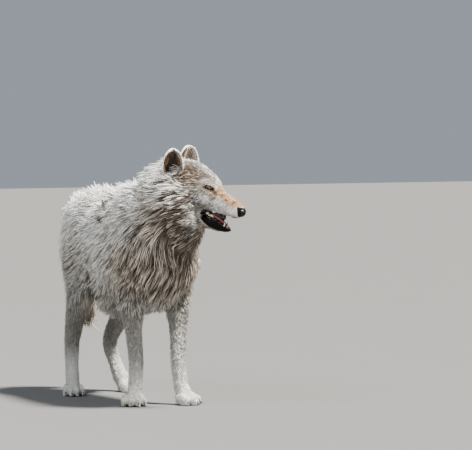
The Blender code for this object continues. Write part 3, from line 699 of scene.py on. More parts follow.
def markings(points):
    """Colours of tips and roots, a dusk share that sets how many darker hairs grow and how deep the painted
    shade between locks goes, and the colour of the darker hairs, at points of the coat.
    """
    tints = coat_tints()
    points = np.asarray(points)
    _, y, z = points.T
    f, _, u = to_head(points).T
    hair = trunk_markings(points, tints)

    fleck = flecks(points)
    tip, root, dusk = hair
    tip = mix(tip, tints.brown * 0.9, fleck * 0.85)
    tip, root, dusk = leg_markings(points, tints, tip, root, np.maximum(dusk, fleck * 2.2))

    hang = ease(y, TAIL_LOW.y + 0.045, TAIL_LOW.y + 0.085) * (1.0 - ease(z, TAIL_HIGH.z - 0.06, TAIL_HIGH.z))
    around_head = ease(f, -0.42, -0.27) * ease(u, -0.30, -0.16)
    head = ease(f, -0.300, -0.245) * ease(u, -0.165, -0.115)
    tail_hair = tints.cream * 0.48 + tints.tan * 0.14, tints.grey * 0.7, 0.16
    head_hair = muzzle_markings(points, tints, *crown_markings(points, tints))
    parts = ((tail_hair, hang), (neck_markings(points, tints), around_head), (head_hair, head))
    for part, share in parts:
        tip, root, dusk = (mix(below, above, share) for below, above in zip((tip, root, dusk), part))
    dark_hair = np.clip(fleck + sum(elbow_and_stifle(points)) + head * 0.5, 0.0, 1.0)
    return tip, root, dusk, mix(tints.brown[None], tints.dark, dark_hair)


def upper_lip(f):
    """Height of the edge of the upper lip along the muzzle."""
    return -0.0385 + 0.055 * (f + 0.030)


def lower_lip(f):
    """Height of the edge of the lower lip along the jaw."""
    return -0.0765 - 0.235 * (f + 0.040)


def lip_rise(f):
    """How far the soft lower lip stands above the jaw."""
    return 0.0080 * ease(f, -0.150, -0.125) * (1.0 - ease(f, -0.100, -0.055))


def upper_gum(f):
    return upper_lip(f) + 0.0045


def lower_gum(f):
    return lower_lip(f) + lip_rise(f) - 0.0010


def tongue_top(f):
    """Height of the top of the tongue along the mouth."""
    ahead = [-0.135, -0.110, -0.085, -0.064, -0.053]
    return np.interp(f, ahead, [-0.0460, -0.0465, -0.0525, -0.0610, -0.0665])


EAR_HEIGHT, EAR_HALF_WIDTH, EAR_WALL = 0.094, 0.037, 0.0034
EAR_ROOT = {1: (-0.268, 0.068, 0.053), -1: (-0.268, -0.073, 0.044)}
EAR_LEAN = (-0.20, 0.09, 0.96)
EAR_OPENING = {1: (0.66, -0.75, 0.10), -1: (0.50, -0.86, 0.10)}
EAR_CURL = 1.35


# ---------------------------------------------------------------- the skin
Paw = namedtuple("Paw", "node side toe_out length width claw")
PAWS = (
    Paw("forepaw_left", 1, 33.0, 0.108, 0.086, 0.0185),
    Paw("forepaw_right", -1, 16.0, 0.108, 0.086, 0.0185),
    Paw("hindpaw_left", 1, 26.0, 0.098, 0.076, 0.0165),
    Paw("hindpaw_right", -1, 14.0, 0.098, 0.076, 0.0165),
)
TOES = (-1.5, -0.5, 0.5, 1.5)
TOE_GAP = 0.27  # between toes, as a share of the paw's width
TOE_SPREAD = 7.0  # degrees between toes
PAW_TOP = 0.075
SHORT_COAT_TOP = 0.44  # below it the legs show their shape through the coat
LIMBS = ("foreleg_left", "foreleg_right", "hindleg_left", "hindleg_right", "thigh_left", "thigh_right")
CORE = ("trunk", "neck", "tail") + LIMBS
EARS = ("ear_left", "ear_right")
FLESH = CORE + ("head", "lower_jaw") + tuple(paw.node for paw in PAWS) + EARS
KINDS = ("trunk", "neck", "limb", "tail", "head")  # parts whose coats differ
SKIN_GRAIN = 0.0034
SEAM_GROWTH = 0.0014  # how far the copies grow, to close the gaps between them


def paw_frame(paw):
    """The middle of a paw on the floor, and forward, left and up as columns."""
    heading = math.radians(paw.toe_out) * paw.side
    forward = np.array((math.sin(heading), -math.cos(heading), 0.0))
    left = np.array((math.cos(heading), math.sin(heading), 0.0))
    spots = spots_of(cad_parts[paw.node].data)
    spots = spots[spots[:, 2] < 0.030]
    reach = (spots @ forward).max() - (paw.length * 0.40 - 0.010 + paw.claw * 1.15)
    sideways = ((spots @ left).max() + (spots @ left).min()) * 0.5
    return forward * reach + left * sideways, np.column_stack((forward, left, (0.0, 0.0, 1.0)))


def toe_reach(paw, spread):
    return paw.length * (0.40 if abs(spread) < 1.0 else 0.25)


def about_z(degrees):
    cos, sin = math.cos(math.radians(degrees)), math.sin(math.radians(degrees))
    return np.array(((cos, -sin, 0.0), (sin, cos, 0.0), (0.0, 0.0, 1.0)))


def paw_forms(paw):
    """The ankle, the main pad, and a knuckle and a tip for each toe."""
    middle, axes = paw_frame(paw)
    length, width = paw.length, paw.width
    forms = [((-length * 0.12, 0.0, 0.024), (length * 0.38, width * 0.40, 0.030), 0.0)]
    for spread in TOES:
        reach, across = toe_reach(paw, spread), spread * width * TOE_GAP
        tip = (reach - length * 0.19, across, 0.0175), (length * 0.235, width * 0.142, 0.0205)
        knuckle = (reach - length * 0.29, across * 0.92, 0.0265), (length * 0.165, width * 0.125, 0.0185)
        forms += [(*tip, spread * TOE_SPREAD), (*knuckle, spread * TOE_SPREAD)]
    made = []
    for centre, radii, turn in forms:
        place = middle + axes @ np.array(centre)
        made.append(primitive_ball(paw.node + "_form", place, axes @ about_z(turn), radii, 24, 14))
    leg = spots_of(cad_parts[paw.node.replace("paw", "leg")].data)
    ankle = leg[leg[:, 2] < leg[:, 2].min() + 0.004].mean(axis=0)
    foot = mix(middle, ankle, 0.62)
    for centre in (ankle, np.array((foot[0], foot[1], 0.040))):
        made.append(primitive_ball(paw.node + "_ankle", centre, axes, (0.0290, 0.0275, 0.0400), 24, 14))
    return made


def without_teeth(thing, jaw):
    """Presses the teeth of a jaw flat into its gum."""
    spots = to_head(spots_of(thing.data))
    f, l, u = spots.T
    inner = (np.abs(l) < 0.029) & (f > -0.140) & (f < -0.004)
    if jaw == "upper":
        gum = upper_lip(f) - 0.0005
        spots[:, 2] = np.where(inner & (u < gum) & (u > gum - 0.03), gum, u)
    else:
        gum = lower_lip(f) + 0.0005
        spots[:, 2] = np.where(inner & (u > gum), gum, u)
    set_spots(thing.data, from_head(spots))


def head_share(points):
    f, _, u = to_head(points).T
    return ease(f, -0.300, -0.235) * ease(u, -0.165, -0.115)


def near_ears(points, reach):
    """1 in front of the opening of either ear, where the fur is short and the skin lies deep."""
    local = to_head(points)
    share = np.zeros(len(points))
    for side, _ in SIDES:
        rise, opening, _ = ear_axes(side)
        mouth = EAR_ROOT[side] + opening * 0.024 + rise * 0.016
        share = np.maximum(share, 1.0 - ease(np.linalg.norm(local - mouth, axis=1), 0.018, reach))
    return share


NECK_DEPTH = 0.041


def coat_depth(points, groups):
    """How deep the skin lies under the tips of the coat."""
    f, l, u = to_head(points).T
    z = points[:, 2]
    side = np.abs(l)
    trunk = mix(0.030, 0.024, 1.0 - ease(z, BELLY, BELLY + 0.10))
    heights = [0.0, 0.07, 0.14, 0.28, 0.36, 0.46, 0.58]
    limb = np.interp(z, heights, [0.0030, 0.0042, 0.0052, 0.0075, 0.0125, 0.022, 0.029])
    tail = 0.008 + 0.022 * ease(z, TAIL_LOW.z, TAIL_LOW.z + 0.11)
    face = np.interp(
        f,
        [-0.30, -0.26, -0.22, -0.18, -0.150, -0.125, -0.10, -0.03, 0.0],
        [0.036, 0.029, 0.019, 0.0115, 0.0065, 0.0042, 0.0032, 0.0022, 0.0015],
    )
    crown = ease(u, 0.06, 0.10) * ease(f, -0.30, -0.27)
    face = mix(face, np.minimum(face, 0.0125), crown)
    face = face + 0.006 * ease(side, 0.050, 0.075) * bump_at(f, -0.225, 0.06)
    throat = 1.0 - ease(u, -0.120, -0.092)
    face = np.maximum(face, 0.020 * throat * (1.0 - ease(f, -0.155, -0.120)))
    face = face + 0.024 * near_ears(points, 0.044)
    inside = (u < upper_lip(f) + 0.0005) & (u > lower_lip(f) - 0.0005) & (f > MOUTH_CORNER) & (side < 0.040)
    face = np.where(inside, 0.0004, face)
    depth = (
        groups["trunk"] * trunk
        + groups["neck"] * NECK_DEPTH
        + groups["limb"] * limb
        + groups["tail"] * tail
        + groups["head"] * face
    )
    return mix(depth, face, ease(f, -0.26, -0.20) * groups["head"])


def cad_groups(points, edges, rounds):
    """Shares of trunk, neck, limb, tail and head at each point, blended over the skin."""
    corners, faces, owners = [], [], []
    start = 0
    for node in FLESH:
        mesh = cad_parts[node].data
        mesh.calc_loop_triangles()
        kind = node if node in KINDS else ("head" if node in ("lower_jaw",) + EARS else "limb")
        corners.extend(vert.co.copy() for vert in mesh.vertices)
        for triangle in mesh.loop_triangles:
            faces.append([start + index for index in triangle.vertices])
            owners.append(KINDS.index(kind))
        start += len(mesh.vertices)
    tree = BVHTree.FromPolygons(corners, faces)
    shares = np.zeros((len(points), len(KINDS)))
    for row, point in enumerate(points):
        shares[row, owners[tree.find_nearest(Vector(point))[2]]] = 1.0
    shares = spread_out(shares, edges, rounds)
    return {kind: shares[:, column] for column, kind in enumerate(KINDS)}


def select_faces(thing, chosen):
    """Selects faces by a mask, and goes to edit mode."""
    select_only(thing)
    mesh = thing.data
    mesh.polygons.foreach_set("select", chosen)
    verts = np.zeros(len(mesh.vertices), bool)
    edge_mask = np.zeros(len(mesh.edges), bool)
    loops = numbers_of(mesh.loops, "vertex_index", 1, np.int32)
    loop_edges = numbers_of(mesh.loops, "edge_index", 1, np.int32)
    totals = numbers_of(mesh.polygons, "loop_total", 1, np.int32)
    by_loop = np.repeat(chosen, totals)
    verts[loops[by_loop]] = True
    edge_mask[loop_edges[by_loop]] = True
    mesh.vertices.foreach_set("select", verts)
    mesh.edges.foreach_set("select", edge_mask)
    bpy.context.tool_settings.mesh_select_mode = (False, False, True)
    bpy.ops.object.mode_set(mode="EDIT")


def fused_skin():
    """One closed surface round copies of the CAD flesh and the forms of the paws."""
    copies = [copy_of_node(node) for node in CORE]
    head, jaw = copy_of_node("head"), copy_of_node("lower_jaw")
    without_teeth(head, "upper")
    without_teeth(jaw, "lower")
    copies += [head, jaw]
    for thing in copies:
        set_spots(thing.data, spots_of(thing.data) + normals_of(thing.data) * SEAM_GROWTH)
    for side, word in SIDES:
        centre = middle_of("eye_" + word)
        copies.append(primitive_ball("eye_form", centre, np.eye(3), (EYE_RADIUS + 0.001,) * 3))
        place = from_head(np.array(EAR_ROOT[side]) + (-0.012, -side * 0.014, -0.022))
        copies.append(primitive_ball("ear_seat", place, HEAD_AXES, (0.042, 0.040, 0.034)))
        corner = from_head(np.array((MOUTH_CORNER + 0.001, side * 0.036, -0.0535)))
        copies.append(primitive_ball("mouth_corner", corner, HEAD_AXES, (0.0085, 0.0100, 0.0110)))
    nose = copy_of_node("nose")
    copies.append(nose)
    for paw in PAWS:
        copies += paw_forms(paw)
    skin = joined(copies, "skin")
    fuse = skin.modifiers.new("Fuse", "REMESH")
    fuse.mode = "VOXEL"
    fuse.voxel_size = SKIN_GRAIN
    soften = skin.modifiers.new("Soften", "SMOOTH")
    soften.factor = 0.5
    soften.iterations = 5
    apply_all(skin)
    mesh = skin.data
    spots = spots_of(mesh)
    edges = edges_of(mesh)
    face = head_share(spots) * ease(to_head(spots)[:, 0], -0.25, -0.19)
    thick = ease(spots[:, 2], 0.30, 0.42) * (1.0 - face)
    calm = spread_out(spots, edges, 40, 0.3)
    set_spots(mesh, mix(spread_out(spots, edges, 1), calm, thick))
    return skin


def thin_out(skin):
    """Fewer faces under the long coat, and more on the face."""

    def under_long_coat(places):
        behind = places[:, 1] > TAIL_LOW.y + 0.08
        return (head_share(places) < 0.35) & ((places[:, 2] > SHORT_COAT_TOP) | behind)

    def on_legs(places):
        return (head_share(places) < 0.35) & (places[:, 2] > PAW_TOP) & (places[:, 2] < SHORT_COAT_TOP)

    def on_paws(places):
        return places[:, 2] < PAW_TOP

    for part, ratio in ((under_long_coat, 0.13), (on_legs, 0.24), (on_paws, 0.60)):
        select_faces(skin, part(face_middles(skin.data)))
        bpy.ops.mesh.decimate(ratio=ratio)
        bpy.ops.object.mode_set(mode="OBJECT")
    middles = face_middles(skin.data)
    f = to_head(middles)[:, 0]
    select_faces(skin, (head_share(middles) > 0.6) & (f > -0.178))
    bpy.ops.mesh.subdivide(number_cuts=1)
    bpy.ops.mesh.select_all(action="SELECT")
    bpy.ops.mesh.quads_convert_to_tris(quad_method="FIXED", ngon_method="CLIP")
    bpy.ops.object.mode_set(mode="OBJECT")


def eye_axes(side):
    """Outward, along the slit towards the outer corner, and up, as columns in head space."""
    ahead = unit(np.array((0.58, side * 0.80, 0.14)))
    along = np.array((-0.93, side * 0.30, 0.20))
    along = unit(along - ahead * (along @ ahead))
    up = np.cross(ahead, along) * -side
    return np.column_stack((ahead, along, unit(up)))


def eye_centre(side):
    return np.array((EYE_SPOT[0], side * EYE_SPOT[1], EYE_SPOT[2]))


def beside_slit(spots, side, beyond):
    """Places from the middle of an eye: outward, along, up, and how far they lie over its lids."""
    z, x, y = ((spots - eye_centre(side)) @ eye_axes(side)).T
    over = np.where(y > 0.0, y - slit_edge(x, True), slit_edge(x, False) - y)
    past = np.abs(x) - SLIT_END
    return z, x, y, np.where(past > 0.0, np.maximum(over, past * beyond), over)


def slit_edge(x, upper=True):
    """Height of the edge of a lid along the slit."""
    face = bpy.context.scene.wolf_face
    share = np.clip(x / face.slit_length, -1.0, 1.0)
    curve = np.sqrt(np.clip(1.0 - np.abs(share) ** 1.7, 0.0, 1.0))
    return curve * face.slit_rise * (1.0 if upper else -0.78) + 0.0006 * share


def shape_lids(spots):
    """Draws the skin over the eyes as lids, and opens a slit between them."""
    for side, _ in SIDES:
        z, x, y, over = beside_slit(spots, side, 1.0)
        r = np.hypot(x, y)
        near = (r < 0.024) & (z > -0.002)
        lid = dome(EYE_RADIUS + 0.0013, np.minimum(r, LID_REACH)) - 0.10 * np.maximum(r - LID_REACH, 0.0)
        sunk = dome(EYE_RADIUS, np.minimum(r, EYE_RADIUS)) - 0.0025
        target = mix(sunk, lid, ease(over, -0.0008, 0.0006))
        weight = np.where(near, 1.0 - ease(r, 0.0115, 0.0215), 0.0)
        moved = spots + np.outer(mix(z, target, weight) - z, eye_axes(side)[:, 0])
        spots = np.where(near[:, None], moved, spots)
    return spots


def swell(spots, normals, middle, radii, amount, turn):
    """Pushes the skin out (or in) round a place on both sides of the head."""
    f, l, u = spots.T
    side = np.sign(l)
    place = np.column_stack((f - middle[0], np.abs(l) - middle[1], u - middle[2]))
    cos, sin = math.cos(turn), math.sin(turn)
    ahead, above = place[:, 0] * cos + place[:, 2] * sin, place[:, 2] * cos - place[:, 0] * sin
    distance = np.linalg.norm(np.column_stack((ahead, place[:, 1], above)) / np.asarray(radii), axis=1)
    return spots + normals * (amount * (1.0 - ease(distance, 0.0, 1.0)) * (side != 0.0))[:, None]


FACE_FORMS = (  # middle and radii in head space, how far the skin swells there, and the form's turn
    ((-0.152, 0.036, 0.0555), (0.026, 0.020, 0.010), 0.0028, 0.15),  # brow
    ((-0.148, 0.046, 0.021), (0.030, 0.020, 0.008), 0.0012, 0.25),  # cheekbone
    ((-0.118, 0.030, 0.026), (0.020, 0.016, 0.012), -0.0020, 0.0),  # hollow before the eye
    ((-0.040, 0.024, -0.022), (0.034, 0.020, 0.014), 0.0018, 0.0),  # whisker pad
    ((-0.085, 0.026, 0.000), (0.034, 0.014, 0.014), -0.0014, 0.0),  # side of the bridge
    ((-0.125, 0.000, 0.058), (0.034, 0.008, 0.030), -0.0016, 0.0),  # furrow between the brows
)


def shape_face(skin):
    """Brow, stop, cheekbone, whisker pad, lips and lids."""
    mesh = skin.data
    world = spots_of(mesh)
    chosen = head_share(world) > 0.3
    spots = to_head(world)
    normals = normals_of(mesh) @ HEAD_AXES
    before = spots.copy()
    for middle, radii, amount, turn in FACE_FORMS:
        spots = swell(spots, normals, middle, radii, amount, turn)
    f, l, u = spots.T
    low = lower_lip(f)
    outer = (f > MOUTH_CORNER - 0.010) & (f < -0.016)
    rim = bump_at(u, low - 0.0040, 0.0060) * outer * ease(np.abs(l), 0.006, 0.014)
    crimp = 0.75 + 0.25 * np.sin(f * 900.0)
    spots = spots + normals * (rim * crimp * 0.0020)[:, None]
    rim = bump_at(u, upper_lip(f) + 0.0020, 0.0045) * outer * ease(np.abs(l), 0.010, 0.018)
    spots = spots + normals * (rim * 0.0012)[:, None]
    soft = ease(u, low - 0.016, low - 0.003) * (1.0 - ease(u, low + 0.006, low + 0.012))
    spots[:, 2] += lip_rise(f) * soft * ease(np.abs(l), 0.010, 0.018)
    spots = shape_lids(spots)
    moved = np.where(chosen[:, None], spots, before)
    set_spots(mesh, from_head(moved))


def ear_axes(side):
    """Up, outward through the opening, and across an ear, in head space."""
    rise = unit(np.array(EAR_LEAN) * (1.0, side, 1.0))
    opening = np.array(EAR_OPENING[side])
    opening = unit(opening - rise * (opening @ rise))
    return rise, opening, np.cross(rise, opening)


def ear_points(side, share, turn):
    """The middle of the ear's wall, at a share of its height and from one edge (-1) to the other (1)."""
    rise, opening, across = ear_axes(side)
    above = np.maximum(share, 0.0)
    taper = np.clip((share - 0.28) / 0.734, 0.0, 1.0)
    half_width = EAR_HALF_WIDTH * (0.52 + 0.48 * ease(share, -0.22, 0.28)) * np.sqrt(1.0 - taper**1.9)
    cup = 0.030 - 0.017 * above
    sideways = np.sin(turn * EAR_CURL) / math.sin(EAR_CURL) * half_width
    depth = (np.cos(turn * EAR_CURL) - math.cos(EAR_CURL)) / (1.0 - math.cos(EAR_CURL)) * cup
    height = EAR_HEIGHT * share - 0.004 * turn**2 * above
    local = EAR_ROOT[side] + np.outer(height, rise) + np.outer(sideways, across) - np.outer(depth, opening)
    return from_head(local)


def ear_frame(side, share, turn):
    """Up along the wall, and the normal of its inner face."""
    step = 0.01
    up = ear_points(side, share + step, turn) - ear_points(side, share - step, turn)
    over = ear_points(side, share, turn + step) - ear_points(side, share, turn - step)
    return unit(up), unit(np.cross(over, up))


def ear_colours(side, share, turn, inner):
    """White along the rim, partly painted rim light; brown inside, darkest deep in the cup with painted
    shade, and paler inside the left ear, painted as lit; cream to tan behind.
    """
    white, cream, grey, brown, tan, dark = coat_tints()
    # white along the rim and tip: partly the ear's pale fringe and partly painted rim light where the sun
    # catches its edge
    rim = np.maximum(ease(np.abs(turn), 0.86, 0.97), ease(share, 0.94, 0.99)) * ease(share, 0.08, 0.30)
    inside = mix((brown * 0.55)[None], brown * 0.80 + grey * 0.12, ease(share, 0.55, 0.9))
    # darkest low in the middle of the cup: the ear's own dark skin and painted shade deep in the cup
    hollow = (1.0 - ease(np.abs(turn + 0.1), 0.15, 0.55)) * (1.0 - ease(share, 0.45, 0.8))
    inside = mix(inside, dark * 1.3, hollow)
    # painted light: the inside of the left ear is painted paler, as lit, while the right ear's inside keeps
    # the darker browns, as in shade
    if side > 0:
        inside = mix(inside, cream * 0.55 + tan * 0.22, 0.75 - 0.35 * ease(-share, -0.25, 0.0))
    behind = mix((tan * 0.45 + grey * 0.45)[None], white * 0.62 + tan * 0.12, ease(share, 0.1, 0.6))
    return mix(mix(behind, inside, inner), white, rim)


def ear_shell(side, word):
    """A thin cupped ear whose root lies in the crown."""
    rows, columns = 34, 29
    select_only()
    bpy.ops.mesh.primitive_grid_add(x_subdivisions=columns - 1, y_subdivisions=rows - 1, size=2.0)
    ear = bpy.context.active_object
    ear.name = "ear_shell_" + word
    spots = spots_of(ear.data)
    share = -0.20 + 1.20 * np.sin(math.pi * 0.25 * (spots[:, 1] + 1.0))
    turn = spots[:, 0]
    middle = ear_points(side, share, turn)
    set_spots(ear.data, middle)
    wall = ear.modifiers.new("Wall", "SOLIDIFY")
    wall.thickness = EAR_WALL
    wall.offset = 0.0
    edge = ear.modifiers.new("Edge", "BEVEL")
    edge.width = 0.0012
    edge.segments = 2
    edge.limit_method = "ANGLE"
    apply_all(ear)
    merged(ear, outwards=True)
    spots = spots_of(ear.data)
    tree = tree_of(middle)
    nearest = np.array([tree.find(spot)[1] for spot in spots.tolist()])
    inward = ear_frame(side, share[nearest], turn[nearest])[1]
    inner = ease(np.sum((spots - middle[nearest]) * inward, axis=1), -0.0008, 0.0008)
    paint(ear.data, ear_colours(side, share[nearest], turn[nearest], inner))
    return ear


def skin_colours(mesh):
    """Colour and wetness of the skin: the coat's markings, darker under the long coat partly as painted
    shade, black lips and lids, pads and the mouth.
    """
    face = bpy.context.scene.wolf_face
    points = spots_of(mesh)
    tip, root, dusk, dusky = markings(points)
    normals = normals_of(mesh)
    short = ease(to_head(points)[:, 0], -0.20, -0.13) * head_share(points)
    # under the long coat the skin takes the roots' colour, darkened by dusk towards the darker hairs: the
    # undercoat's own colour and painted shade, so that gaps between locks read as depth
    colour = mix(mix(root, dusky, dusk * 0.6), tip, 0.30 + 0.62 * short)
    black = np.array(face.black)
    lip, mouth, lid = bare_parts(points, normals)
    colour = mix(colour, np.array(face.tongue) * 0.55, mouth)
    colour = mix(colour, black, np.maximum(lip, lid))
    sole = ease(-normals[:, 2], 0.5, 0.8) * (1.0 - ease(points[:, 2], 0.004, 0.010))
    colour = mix(colour, black * 1.8, sole)
    paint(mesh, colour)
    wet = np.maximum(np.maximum(lip, lid), mouth)
    layer = mesh.attributes.new("wet", "FLOAT", "POINT")
    layer.data.foreach_set("value", wet.astype(np.float32))


def bare_parts(points, normals):
    """Shares of black lip, of the inside of the mouth, and of the rim of the lids."""
    f, l, u = to_head(points).T
    side = np.abs(l)
    low, top = lower_lip(f), upper_lip(f)
    on_jaw = (1.0 - ease(f, -0.020, -0.012)) * (side < HALF_MUZZLE)
    on_jaw = on_jaw * ease(f, MOUTH_CORNER - 0.006, MOUTH_CORNER + 0.008)
    ahead = [-0.165, -0.150, -0.130, -0.109, -0.080, -0.060, -0.040]
    band = np.interp(f, ahead, [0.008, 0.018, 0.028, 0.034, 0.031, 0.027, 0.018])
    low_lip = ease(u, low - band - 0.002, low - band + 0.002) * (1.0 - ease(u, low + 0.006, low + 0.012))
    top_lip = (1.0 - ease(u, top + 0.0030, top + 0.0052)) * ease(u, top - 0.006, top - 0.003)
    corner = bump_at(f, MOUTH_CORNER + 0.006, 0.012) * bump_at(u, -0.053, 0.012) * (side < HALF_MUZZLE)
    edge = -0.0300 - 0.36 * (u - 0.002)
    leather = ease(f, edge - 0.0012, edge + 0.0012)
    leather = leather * ease(u, -0.0345, -0.0315) * (1.0 - ease(u, 0.002, 0.005))
    lip = strong(np.maximum.reduce([on_jaw * low_lip, on_jaw * top_lip, corner * 1.5, leather]), 1.0)
    between = (u < top + 0.001) & (u > low - 0.006) & (f > MOUTH_CORNER - 0.004) & (side < 0.027)
    mouth = between * ease(np.abs((normals @ HEAD_AXES)[:, 2]), 0.5, 0.8)
    lip = lip * (1.0 - mouth)
    lid = np.zeros(len(points))
    for turn, _ in SIDES:
        z, x, y, over = beside_slit(to_head(points), turn, 0.45)
        lid = np.maximum(lid, (z > 0.0) * (1.0 - ease(over, 0.0015, 0.0032)) * (np.hypot(x, y) < 0.021))
    return lip, mouth, lid


class WOLF_OT_skin(bpy.types.Operator):
    """Fuse the flesh into one skin that lies under the coat, and shape the face"""

    bl_idname = "wolf.skin"
    bl_label = "Skin"

    def execute(self, context):
        skin = fused_skin()
        thin_out(skin)
        mesh = skin.data
        points = spots_of(mesh)
        edges = edges_of(mesh)
        groups = cad_groups(points, edges, 22)
        depth = spread_out(coat_depth(points, groups), edges, 3)[:, 0] + SEAM_GROWTH * 0.7
        normals = unit(spread_out(normals_of(mesh), edges, 3))
        sole = ease(-normals[:, 2], 0.35, 0.75) * (1.0 - ease(points[:, 2], 0.006, 0.020))
        points = points - normals * (depth * (1.0 - sole))[:, None]
        points[:, 2] = np.where(points[:, 2] < 0.0022, 0.0, points[:, 2])
        set_spots(mesh, points)
        shape_face(skin)
        ears = [ear_shell(side, word) for side, word in SIDES]
        survey(skin, groups)
        skin_colours(skin.data)
        skin = joined([skin] + ears, "skin")
        finish_piece(skin, skin_material(), *FLESH)
        return {"FINISHED"}


# ---------------------------------------------------------------- the coat
class Survey:
    """What the coat knows of the skin: its triangles, and at each vertex the lie and size of the hair."""


GROUND = Survey()


def lie_of_coat(points, normals, groups):
    """Which way the hair points, along the skin."""
    f, l, u = to_head(points).T
    x, y, z = points.T
    side = np.clip((x - MIDLINE) / 0.05, -1.0, 1.0)
    ones = np.ones(len(points))
    drop = ease(BACK_TOP - z, 0.03, 0.22)
    trunk = np.column_stack((side * 0.12, ones, -0.12 - 0.62 * drop))
    low = 1.0 - ease(z, BELLY + 0.02, BELLY + 0.12)
    trunk = mix(trunk, np.column_stack((0.0 * x, ones, -0.35 * ones)), low * 0.8)
    chest = (1.0 - ease(y, -0.36, -0.18)) * (1.0 - 0.75 * ease(np.abs(x - MIDLINE), 0.07, 0.12))
    trunk = mix(trunk, np.column_stack((-side * 0.10, 0.28 * ones, -1.0 * ones)), chest * drop)
    neck = np.column_stack((side * 0.10, ones, -0.50 * ones))
    limb = np.column_stack((side * 0.02, 0.22 * ones, -1.0 * ones))
    thigh = ease(z, 0.30, 0.42) * ease(y, 0.05, 0.15)
    limb = mix(limb, np.column_stack((0.0 * x, 0.62 * ones, -0.90 * ones)), thigh)
    for paw in PAWS:
        middle, axes = paw_frame(paw)
        near = (1.0 - ease(z, 0.045, 0.085)) * (np.hypot(x - middle[0], y - middle[1]) < 0.10)
        limb = mix(limb, axes[:, 0] * 0.9 + np.array((0.0, 0.0, -0.55)), near)
    tail = np.column_stack((0.0 * x, 0.55 - 0.50 * ease(TAIL_HIGH.z - z, 0.0, 0.16), -ones))
    left = np.clip(l / 0.03, -1.0, 1.0)
    out = ease(-f, 0.10, 0.20)
    head = np.column_stack((-ones, left * (0.10 + 0.22 * out), -0.10 - 0.10 * out))
    cheek = ease(-f, 0.13, 0.22) * (1.0 - ease(u, -0.02, 0.05))
    head = mix(head, np.column_stack((-0.85 * ones, left * 0.25, -0.75 * ones)), cheek)
    crown = ease(u, 0.05, 0.09)
    head = mix(head, np.column_stack((-ones, left * 0.18, 0.10 * ones)), crown)
    way = (
        trunk * groups["trunk"][:, None]
        + neck * groups["neck"][:, None]
        + limb * groups["limb"][:, None]
        + tail * groups["tail"][:, None]
        + turned_to_body(head) * groups["head"][:, None]
    )
    return unit(way - normals * np.sum(way * normals, axis=1)[:, None])


TAIL_HAIR = 0.072


def hair_length(points, groups):
    """Length of the hair at each point: long on body and neck, short on the feet and towards the nose."""
    coat = bpy.context.scene.wolf_coat
    f, l, u = to_head(points).T
    _, y, z = points.T
    chest = 1.0 - ease(y, -0.30, -0.10)
    trunk = mix(coat.trunk_length, coat.neck_length, chest * 0.8)
    trunk = trunk * (1.0 - 0.12 * ease(z, BACK_TOP - 0.10, BACK_TOP))
    heights = [0.0, 0.05, 0.10, 0.20, 0.30, 0.38, 0.48, 0.60]
    limb = np.interp(z, heights, [0.008, 0.010, 0.014, 0.017, 0.022, 0.030, 0.050, 0.060])
    head = np.interp(
        f,
        [-0.30, -0.26, -0.22, -0.18, -0.15, -0.12, -0.08, -0.02],
        [0.074, 0.060, 0.042, 0.025, 0.0145, 0.0095, 0.0070, 0.0050],
    )
    head = mix(head, np.minimum(head, 0.026), ease(u, 0.055, 0.085))
    head = head + 0.014 * ease(np.abs(l), 0.050, 0.075) * bump_at(f, -0.225, 0.07)
    throat = (1.0 - ease(u, -0.120, -0.095)) * (1.0 - ease(f, -0.150, -0.115))
    head = mix(head, np.maximum(head, 0.034), throat)
    for turn, _ in SIDES:
        away = np.sqrt((f - EYE_SPOT[0]) ** 2 + (l - turn * 0.042) ** 2 + (u - EYE_SPOT[2]) ** 2)
        head = head * (0.40 + 0.60 * ease(away, 0.012, 0.030))
    head = mix(head, np.minimum(head, 0.009), near_ears(points, 0.062))
    length = groups["trunk"] * trunk + groups["neck"] * coat.neck_length + groups["limb"] * limb
    return length + groups["tail"] * TAIL_HAIR + groups["head"] * head


